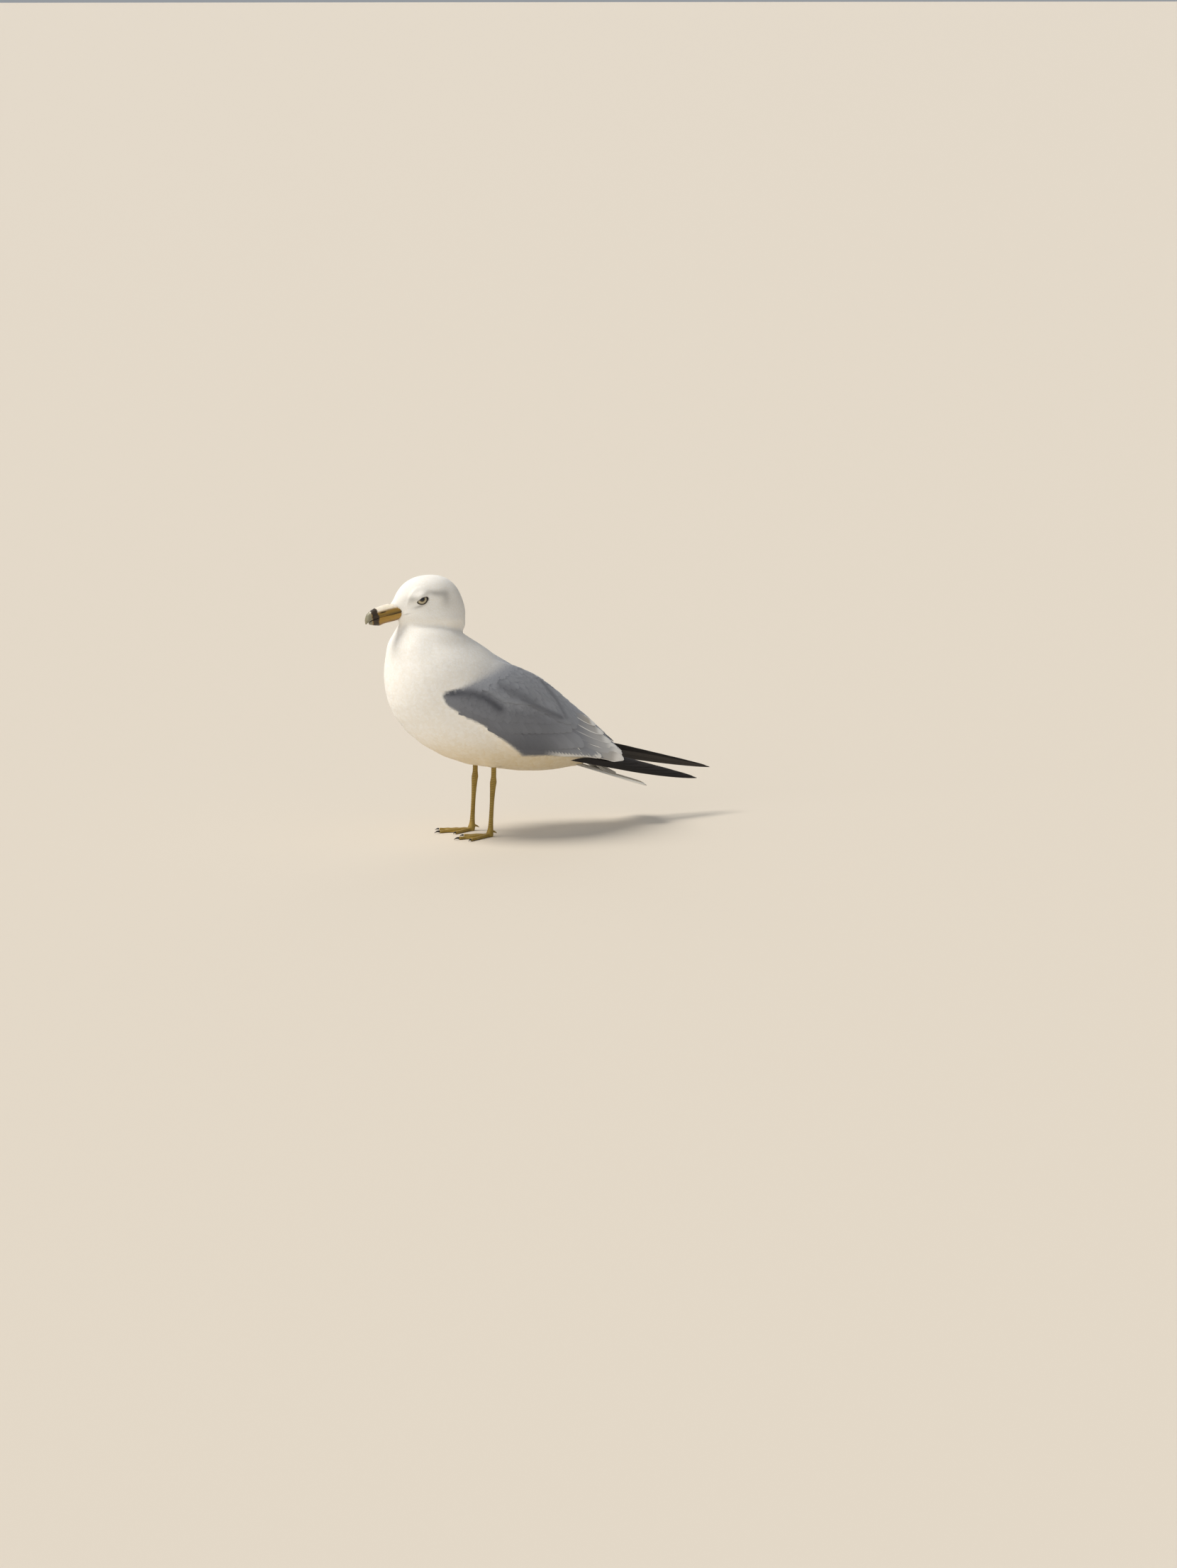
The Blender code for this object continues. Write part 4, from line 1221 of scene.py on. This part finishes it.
def tractOf(roots, outs, flow, length, width, low, high, roll, pale):
    count = len(roots)
    return {
        "roots": roots,
        "outs": outs,
        "flow": flow,
        "length": length,
        "width": np.broadcast_to(width, count).astype(float),
        "low": np.full(count, float(low)),
        "high": high + random.uniform(-0.04, 0.04, count),
        "roll": roll + random.normal(0, 0.015, count),
        "own": random.random(count),
        "grey": np.zeros(count),
        "pale": np.full(count, float(pale)),
        "shade": np.zeros(count),
    }


def rowTract(surface, roots, tips, side, width, low, high, pale):
    start, outs = surface.fromSide(roots[:, 0], roots[:, 1], side)
    end, _ = surface.fromSide(tips[:, 0], tips[:, 1], side)
    flow = end - start
    length = np.linalg.norm(flow, axis=1) / mm
    flow = unit(flow - outs * (flow * outs).sum(axis=1, keepdims=True))
    tract = tractOf(start, outs, flow, length, width, low, high, 0.055 * side, pale)
    tract["grey"][:] = 1
    return tract


def latticeTract(surface, side, rows, area):
    # staggered rows of feathers round the body's axis, as they grow
    (ax, az), (bx, bz) = cape["axis"]
    reach = math.hypot(bx - ax, bz - az)
    dx, dz = (bx - ax) / reach, (bz - az) / reach
    spots = []
    start, stop = (math.radians(t) for t in rows["turns"])
    inColumn, inRow = cape["jitter"]
    count = int((rows["to"] - rows["from"]) / dx / rows["row"])
    for k in range(count):
        along = (rows["from"] - ax) / dx + k * rows["row"]
        step = rows["column"] / np.interp(along, *cape["radii"])
        for m in range(int((stop - start) / step) + 1):
            turn = start + (m + 0.5 * (k % 2) + inColumn * (random.random() - 0.5)) * step
            drift = along + inRow * (random.random() - 0.5) * rows["row"]
            heart = Vector((ax + dx * drift, 0, az + dz * drift))
            away = Vector((-dz * math.cos(turn), side * math.sin(turn), dx * math.cos(turn)))
            hit = surface.tree.ray_cast(place(*(heart + away * cape["outside"])), -away)
            if hit[0] is not None:
                spots.append(hit[0])
    roots, outs = surface.nearest(np.array(spots))
    p = birdPoints(roots)
    keep = area(p)
    roots, outs, p = roots[keep], outs[keep], p[keep]
    flow = flowAt(roots, outs)
    flow = unit(flow + np.cross(outs, flow) * random.normal(0, cape["sway"], len(roots))[:, None])
    size = np.interp(p[:, 0], cape["growth"], rows["length"])
    size *= random.uniform(*cape["lengths"], len(roots))
    size *= cape["slightest"] + (1 - cape["slightest"]) * smooth(0.3, 1, greyAt(p))
    return tractOf(roots, outs, flow, size, size * rows["width"], rows["low"], rows["high"], 0.0, 0.0)


def joined(tracts):
    return {key: np.concatenate([t[key] for t in tracts]) for key in tracts[0]}


def makeWing(surface, side, name):
    # lower layers first: secondaries, then greater, median and outer lesser coverts in rows
    tracts = []
    for count, roots, tips, width, low, high, pale in wingRows:
        shares = np.linspace(0, 1, count)
        roots, tips = alongLine(roots, shares), alongLine(tips, shares)
        tract = rowTract(surface, roots, tips, side, width, low, high, pale)
        tract["pale"] *= 0.8 * smooth(0.15, 0.45, shares)
        tracts.append(tract)
    broad = vane(9, 6, root=0.55, widest=0.6, turn=62, rachis=1)
    rows = finish(
        layFeathers(f"coverts_{name}", surface, joined(tracts), broad), plumageSoft, "grey_feathers"
    )
    lesser = latticeTract(
        surface, side, cape["lesser"],
        lambda p: (p[:, 2] < scapularEdge(p[:, 0]) + 8) & (p[:, 2] > np.interp(p[:, 0], *cape["lesserEdge"]))
        & (greyAt(p) > 0.35) & (p[:, 0] < 46),
    )
    scapulars = latticeTract(
        surface, side, cape["scapulars"], lambda p: (p[:, 2] > scapularEdge(p[:, 0]) + 5) & (greyAt(p) > 0.7)
    )
    mantle = latticeTract(
        surface, side, cape["mantle"],
        lambda p: (greyAt(p) > 0.8)
        & ((p[:, 0] < np.interp(p[:, 2], *cape["mantleEnd"])) | (abs(p[:, 1]) < cape["ridgeHalf"])),
    )
    mantle["low"] = np.interp(birdPoints(mantle["roots"])[:, 0], *cape["ridgeRoots"])
    small = layFeathers(
        f"scapulars_{name}", surface, joined([lesser, scapulars, mantle]),
        vane(6, 4, root=0.55, widest=0.55, turn=60, rachis=1),
    )
    finish(small, plumageSoft, "grey_feathers")
    shares = np.linspace(0, 1, scapularRow["count"])
    tipX = scapularRow["from"] + (scapularRow["to"] - scapularRow["from"]) * shares
    tips = np.stack([tipX, scapularEdge(tipX)], axis=1)
    short, long = scapularRow["lengths"]
    slim, wide = scapularRow["widths"]
    lengths = (short + (long - short) * shares) * random.uniform(0.85, 1.1, len(shares))
    roots = tips - np.array(scapularRow["slant"]) * lengths[:, None] + np.array([0, scapularRow["rootRise"]])
    edgeRow = rowTract(surface, roots, tips, side, slim + (wide - slim) * shares, 1.2, 0.7, 0.0)
    edgeRow["grey"][:] = 0
    slender = vane(9, 6, root=0.55, widest=0.5, turn=74, point=1.15, rachis=1)
    edge = layFeathers(f"scapular_edge_{name}", surface, edgeRow, slender)
    finish(edge, plumageSoft, "grey_feathers")
    faces = sum(len(piece.data.polygons) for piece in (rows, small, edge))
    print(f"wing feathers, {name}:", faces * 2, "triangles")


def makeTertials(surface, side, name):
    # long feathers that close over the folded wing, the inner ones over the outer
    table = np.array(tertials["places"], dtype=float)
    layer = np.arange(len(table))
    width = tertials["width"] - tertials["slimmer"] * layer
    tract = rowTract(surface, table[:, 2:], table[:, :2], side, width, tertials["low"], 0, 1.0)
    lift = tertials["rightOver"] if side > 0 else 0
    tract["high"] = tertials["high"] + tertials["higher"] * layer + lift
    shape = vane(20, 8, root=0.7, widest=0.62, turn=72, rachis=1)
    stiff = np.clip(tertials["stiff"] - tertials["softer"] * layer, 0, 1)
    piece = layFeathers(f"tertials_{name}", surface, tract, shape, paler=0.5, stiff=stiff)
    finish(piece, plumageSoft, "grey_feathers")


ridgeRows = [
    # the last feathers of the closed wings' ridge: places across, root x, z and tip x, z on the ridge
    ((-10, -3.5, 3.5, 10), (146, 112.5), (186, 78.5)),
    ((-6.5, 0, 6.5), (136, 122), (176, 89)),
    ((-9.5, -3, 3, 9.5), (126, 131), (165, 99.5)),
]
ridgeFeathers = {
    "round": 0.055,  # how fast the ridge falls off to the sides
    "section": (11.5, 0.6, 0.2),  # width, arch along and cup across
}
softThick = 0.2  # thickness of the loose soft feathers here and over the tail, mm


def makeRidgeEnd():
    # they lie over both tertials' inner edges, like tiles, the rearmost lowest
    frames = []
    for row, (places, (rootX, rootZ), (tipX, tipZ)) in enumerate(ridgeRows):
        for y in places:
            fall = ridgeFeathers["round"] * y * y
            root = np.array([rootX, y, rootZ - 0.5 - fall + 0.2 * row])
            tip = np.array([tipX - 0.4 * abs(y), y * 0.85, tipZ + 0.6 - fall * 0.8 + 0.3 * row])
            face, length = (0.66, 0.09 * y, 0.75), np.linalg.norm(tip - root)
            frames.append((root, tip - root, face, length, *ridgeFeathers["section"]))
    shape = vane(12, 6, root=0.6, widest=0.58, turn=72, rachis=1)
    count = len(frames)
    lowest = np.arange(count) < len(ridgeRows[0][0])
    values = tones(
        count, own=random.random(count), pale=np.where(lowest, 0.9, 0.25),
        grey=np.tile(1 - 0.2 * smooth(0.6, 1.0, shape["u"]), (count, 1)),
    )
    finish(freeFeathers("ridge_end", frames, shape, softThick, values), plumageStiff, "grey_feathers")


# flight and tail feathers, each on its own shaft, in millimetres
quills = {
    "steps": (0, 5, 19, 37, 56, 76),  # how much shorter each one is than the longest
    "width": 13.5,
    "broader": 0.23,  # from each to the next, as the three below
    "layer": 0.36,  # outwards
    "rise": 1.2,
    "back": 0.7,
    "thick": 0.4,
    "root": {"left": (98, -23.0, 84), "right": (98, 23.0, 93.5)},
    "tip": {"left": (279, -5.5, 41.5), "right": (302, 5.5, 50.5)},
    "barbs": (420.0, 90.0),  # radians along and across a vane: a wave each 3 mm of a 200 mm quill
    "black": "1d1815",
    "other": "241e1a",
    "edges": "171310",
    "shafts": "2f2823",
}


def freeFeathers(name, frames, shape, thickness, values):
    # one vane on each frame: root, ahead, face, length, width, arch and cup
    count, corners = len(frames), len(shape["u"])
    spots = []
    for root, ahead, face, length, width, arch, cup in frames:
        ahead, face = unit(np.array(ahead)), np.array(face)
        face = unit(face - ahead * (face @ ahead))
        across = np.cross(face, ahead)
        u, v = shape["along"], shape["across"]
        rise = 4 * arch * shape["u"] * (1 - shape["u"]) - cup * v**2 * width / 2 + shape["ridge"] * 0.3
        spot = np.outer(u * length, ahead) + np.outer(v * width / 2, across) + np.outer(rise, face)
        spots.append(framePoints(spot + np.array(root)))
    quads, patch = copies(shape, count)
    side = math.ceil(math.sqrt(count))
    cell = np.array([[k % side, k // side] for k in range(count)]) / side
    maps = {
        "vane": np.tile(patch, (count, 1)),
        "OFBake": ((0.04 + 0.92 * patch)[None] / side + cell[:, None]).reshape(-1, 2),
    }
    for key, value in values.items():
        values[key] = value.ravel() if value.ndim == 2 else np.repeat(value, corners)
    made = linked(name, meshFromArrays(name, np.concatenate(spots), quads, maps, values))
    addModifier(made, "SOLIDIFY", thickness=thickness * mm, offset=0)
    return made


def primaryFrames(name):
    root, tip = Vector(quills["root"][name]), Vector(quills["tip"][name])
    outward = -1 if name == "left" else 1
    ahead = (tip - root).normalized()
    face = Vector((0.12, outward * 0.72, 0.68))
    face = (face - ahead * face.dot(ahead)).normalized()
    inward = ahead.cross(face)
    if inward.z < 0:
        inward = -inward
    frames = []
    for k, shorter in enumerate(quills["steps"]):
        start = root + face * quills["layer"] * k + inward * quills["rise"] * k - ahead * quills["back"] * k
        width = quills["width"] + quills["broader"] * k
        frames.append((start, ahead, face, (tip - root).length - shorter, width, 0, 0.06))
    return frames


def makePrimaries(name):
    shape = vane(26, 8, root=0.8, widest=0.5, turn=80, point=1.5, rachis=0.7)
    frames = primaryFrames(name)
    values = {"own": random.random(len(frames))}
    piece = freeFeathers(f"flight_{name}", frames, shape, quills["thick"], values)
    finish(piece, quillBlack, "black_feathers", f"primaries_{name}")


def quillMaterial():
    # melanin-black flight quills: denser and glossier than the body's down
    material, shader = newMaterial("blackQuill", {"Roughness": 0.55, "IOR": 1.55, "Specular IOR Level": 0.35})
    own = addNode(material, "Attribute", {}, 2, attribute_name="own")
    _, edge, barbs = vanePattern(material, *quills["barbs"])
    rim = addNode(material, "MapRange", {"Value": edge, 1: 0.4, 2: 0.5}, **softStep)
    shaft = addNode(material, "MapRange", {"Value": edge, 1: 0.03, 2: 0.01})
    base = colour(quills["black"])
    for share, tint in ((own, "other"), (rim, "edges"), (shaft, "shafts")):
        base = addNode(material, "Mix", {0: share, 6: base, 7: colour(quills[tint])}, 2, **rgba)
    relief = addNode(material, "Bump", {"Height": barbs, "Strength": 0.2, "Distance": 0.12 * mm})
    connect(material, shader, {"Base Color": base, "Normal": relief})
    return material


tailFeathers = {
    "pairs": 6,
    "root": (118, 0, 74),
    "length": 95,
    "slope": 18.9,  # this and the fan in degrees
    "fan": 15.0,
    "width": 19.0,
    "layer": 0.28,
    "thick": 0.4,
}


def makeTail():
    slope = math.radians(tailFeathers["slope"])
    layer = tailFeathers["layer"]
    frames = []
    for k in range(tailFeathers["pairs"]):
        for side in (-1, 1):
            turn = math.radians(side * tailFeathers["fan"] * (k + 0.5) / tailFeathers["pairs"])
            ahead = (math.cos(turn) * math.cos(slope), math.sin(turn), -math.cos(turn) * math.sin(slope))
            face = (math.sin(slope), math.sin(turn) * 0.25, math.cos(slope))
            sink = -layer * k - 0.05 * k * k
            root = Vector(tailFeathers["root"]) + Vector((0, side * (0.4 + 0.9 * k), sink))
            if side > 0:
                root.z += layer * 0.5
            length = tailFeathers["length"] - 0.5 * k
            frames.append((root, ahead, face, length, tailFeathers["width"], 0, 0.04))
    shape = vane(18, 8, root=0.7, widest=0.8, turn=60, rachis=0.6)
    values = tones(len(frames), own=random.random(len(frames)))
    piece = freeFeathers("tail_feathers", frames, shape, tailFeathers["thick"], values)
    finish(piece, plumageStiff, "white_feathers", "tail")
    print("tail feathers:", len(frames))


tailCoverts = [
    # how many, half the spread at root and tip, root x, z and tip x, z, width
    (7, 9, 8, (136, 84), (178, 55.6), 12),
    (6, 8, 7, (130, 96), (165, 63), 12),
    (4, 5, 5, (124, 108), (152, 76), 12),
]


def makeTailCoverts():
    # white feathers that run from the rump over the tail's root
    frames = []
    for count, rootSpread, tipSpread, (rootX, rootZ), (tipX, tipZ), width in tailCoverts:
        for k in range(count):
            share = 2 * k / (count - 1) - 1
            low = 1.2 * share * share + 0.2 * (k % 2)
            root = np.array([rootX - 1.5 * share * share, share * rootSpread, rootZ - 3 * low])
            tip = np.array([tipX - 4 * share * share, share * tipSpread, tipZ - low])
            face, length = (0.6, 0.5 * share, 0.8), np.linalg.norm(tip - root)
            frames.append((root, tip - root, face, length, width, -1.8, 0.1))
    shape = vane(10, 6, root=0.6, widest=0.55, turn=70, rachis=0.6)
    values = tones(len(frames), own=0.4 * random.random(len(frames)))
    finish(freeFeathers("tail_coverts", frames, shape, softThick, values), plumageStiff, "white_feathers")
    print("tail coverts:", len(frames))


def makeBill(upper):
    # one half of the horny sheath, with its nostril, groove and keel, or with the angle of the chin
    name = "bill_upper" if upper else "bill_lower"
    piece = toObject("horn_upper" if upper else "horn_lower", nodeCopy([name]))
    addRemesh(piece, bill["voxel"], bill["smoothRounds"])
    baked(piece)
    p, n = points(piece.data), normals(piece.data)
    reach, rise, across = billPlaces(p)
    depth = bill["sunk"] * smooth(0.3, -1.8, bareHorn(p))
    pit = np.zeros(len(p))
    if upper:
        at, high, long, tall = bill["nostril"]
        pit = np.exp(-(((reach - at) / long) ** 4 + ((rise - high) / tall) ** 4)) * (abs(across) > 3)
        groove = hump(rise, high, 1.4) * smooth(-2, 2, reach) * smooth(18, 10, reach)
        keel = hump(across, 0, 1.3) * smooth(4, 7, rise) * smooth(26, 18, reach)
        depth += (
            bill["pitDepth"] * pit
            + bill["grooveDepth"] * groove * (abs(across) > 2)
            - bill["keelHeight"] * keel
        )
    else:
        at, long, wide, high = bill["gonys"]
        depth -= high * np.exp(-((((reach - at) / long) ** 2) + (across / wide) ** 2)) * (rise < -5)
    depth -= bill["gapeDepth"] * hump(rise, 0, 0.7) * (abs(across) > 1.5)
    setPoints(piece.data, p - n * depth[:, None] * mm)
    store(piece.data, reach=reach, rise=rise, pit=pit)
    finish(piece, hornBill, "bill_horn", name)
    print(piece.name, len(piece.data.polygons), "faces")


def billMaterial():
    # layered keratin horn: waxy gloss, a dark ring before the tip and fine lengthwise streaks, with a painted
    # highlight along the top and painted shade on the upper side, the underside, the gape and in the nostrils
    material, shader = newMaterial(
        "keratinHorn", {"Roughness": 0.42, "IOR": 1.55, "Subsurface Weight": 0.08, "Subsurface Scale": 0.001}
    )
    reach, rise, pit = (
        addNode(material, "Attribute", {}, 2, attribute_name=key) for key in ("reach", "rise", "pit")
    )
    where = addNode(material, "TexCoord", {}, "Object")
    wander = addNode(material, "TexNoise", {"Vector": where, "Scale": 1 / (4 * mm), "Detail": 3.0})
    wander = addNode(material, "MapRange", {"Value": wander, 1: 0.0, 2: 1.0, 3: -1.6, 4: 1.6})
    spot = addNode(material, "Math", {0: reach, 1: wander}, operation="ADD")
    lengthwise = addNode(material, "Mapping", {"Vector": where, "Scale": (0.25, 1, 1)})
    streaks = addNode(material, "TexNoise", {"Vector": lengthwise, "Scale": 1 / (1.2 * mm), "Detail": 4.0})
    # painted shade: a dark line in the crease where the halves meet, fading towards the tip
    gapeShadeRise = addNode(material, "Math", {0: rise}, operation="ABSOLUTE")
    gapeShadeRise = addNode(material, "MapRange", {"Value": gapeShadeRise, 1: 1.8, 2: 0.4}, **softStep)
    gapeShadeReach = addNode(material, "MapRange", {"Value": reach, 1: 14.0, 2: 0.0, 4: 0.8}, **softStep)
    gapeShade = addNode(material, "Math", {0: gapeShadeRise, 1: gapeShadeReach}, operation="MULTIPLY")
    low, high = bill["ring"]
    ringStart = addNode(material, "MapRange", {"Value": spot, 1: low - 0.8, 2: low + 0.8}, **softStep)
    ringEnd = addNode(material, "MapRange", {"Value": spot, 1: high + 0.8, 2: high - 0.8}, **softStep)
    ring = addNode(material, "Math", {0: ringStart, 1: ringEnd}, operation="MULTIPLY")
    base = colour("ad8532")
    # each tint's share: a value, where it starts and ends for the tint, and the most, or a share made above
    for share, tint in (
        # painted shade: the upper half's side darker olive, the band above it a little lighter
        ((rise, -1.5, 1.2, 1.0), "7f6420"),
        ((rise, 1.2, 3.5, 1.0), "97752a"),
        # painted shade: the lower half's underside darker brown
        ((rise, -5.0, -8.2, 1.0), "86642f"),
        # painted highlight: pale cream along the top of the upper half
        ((rise, 4.6, 7.8, 1.0), "efe5d2"),
        (gapeShade, "4c3c18"),
        (ring, "2a1d0b"),
        ((spot, high - 0.2, high + 1.2, 1.0), "87826b"),
        ((streaks, 0.45, 0.75, 0.22), "6d5524"),
        # painted shade inside the nostrils
        ((pit, 0.0, 1.0, 0.7), "2b1f0f"),
    ):
        if isinstance(share, tuple):
            value, start, stop, most = share
            limits = {"Value": value, 1: start, 2: stop, 4: most}
            share = addNode(material, "MapRange", limits, **softStep)
        base = addNode(material, "Mix", {0: share, 6: base, 7: colour(tint)}, 2, **rgba)
    relief = addNode(material, "Bump", {"Height": streaks, "Strength": 0.2, "Distance": 0.15 * mm})
    connect(material, shader, {"Base Color": base, "Normal": relief})
    return material


claws = {"horn": "1f1a15", "worn": "3a3027", "grain": 1.5}  # the grain in millimetres


def clawMaterial():
    # dark smooth horn, paler where it wears thin
    material, shader = newMaterial("darkClaw", {"Roughness": 0.35, "IOR": 1.55})
    where = addNode(material, "TexCoord", {}, "Object")
    clouds = {"Vector": where, "Scale": 1 / (claws["grain"] * mm), "Detail": 3.0}
    grain = addNode(material, "TexNoise", clouds)
    worn = addNode(material, "MapRange", {"Value": grain, 1: 0.35, 2: 0.7})
    dark, thin = colour(claws["horn"]), colour(claws["worn"])
    base = addNode(material, "Mix", {0: worn, 6: dark, 7: thin}, 2, **rgba)
    connect(material, shader, {"Base Color": base})
    return material


def makeClaws():
    for name in nodes:
        if name.startswith("claw_"):
            piece = toObject(name.replace("claw", "nail"), nodeCopy([name]))
            addModifier(piece, "SUBSURF", levels=2, render_levels=2)
            finish(baked(piece), darkClaw, "claw_horn", name)


makeCamera()
makeStudio()
plumageSoft = plumageMaterial("softPlumage", True)
plumageStiff = plumageMaterial("stiffPlumage", False)
quillBlack = quillMaterial()
hornBill = billMaterial()
darkClaw = clawMaterial()
whole, surface = makeForm()
hide = makeSkin(whole, surface)
finish(
    hide, skinMaterial(), "white_feathers", "head", "neck", "trunk", "thigh_left", "thigh_right",
    "wing_left", "wing_right", "shank_left", "shank_right", "foot_left", "foot_right",
)
bpy.data.objects.remove(whole)
wetEye = eyeMaterial()
for side, name in ((-1, "left"), (1, "right")):
    finish(makeEye(side, name), wetEye, "eye", f"eye_{name}")
makeContourCoat(surface)
for side, name in ((-1, "left"), (1, "right")):
    makeWing(surface, side, name)
    makeTertials(surface, side, name)
    makePrimaries(name)
makeRidgeEnd()
makeTail()
makeTailCoverts()
makeBill(True)
makeBill(False)
makeClaws()
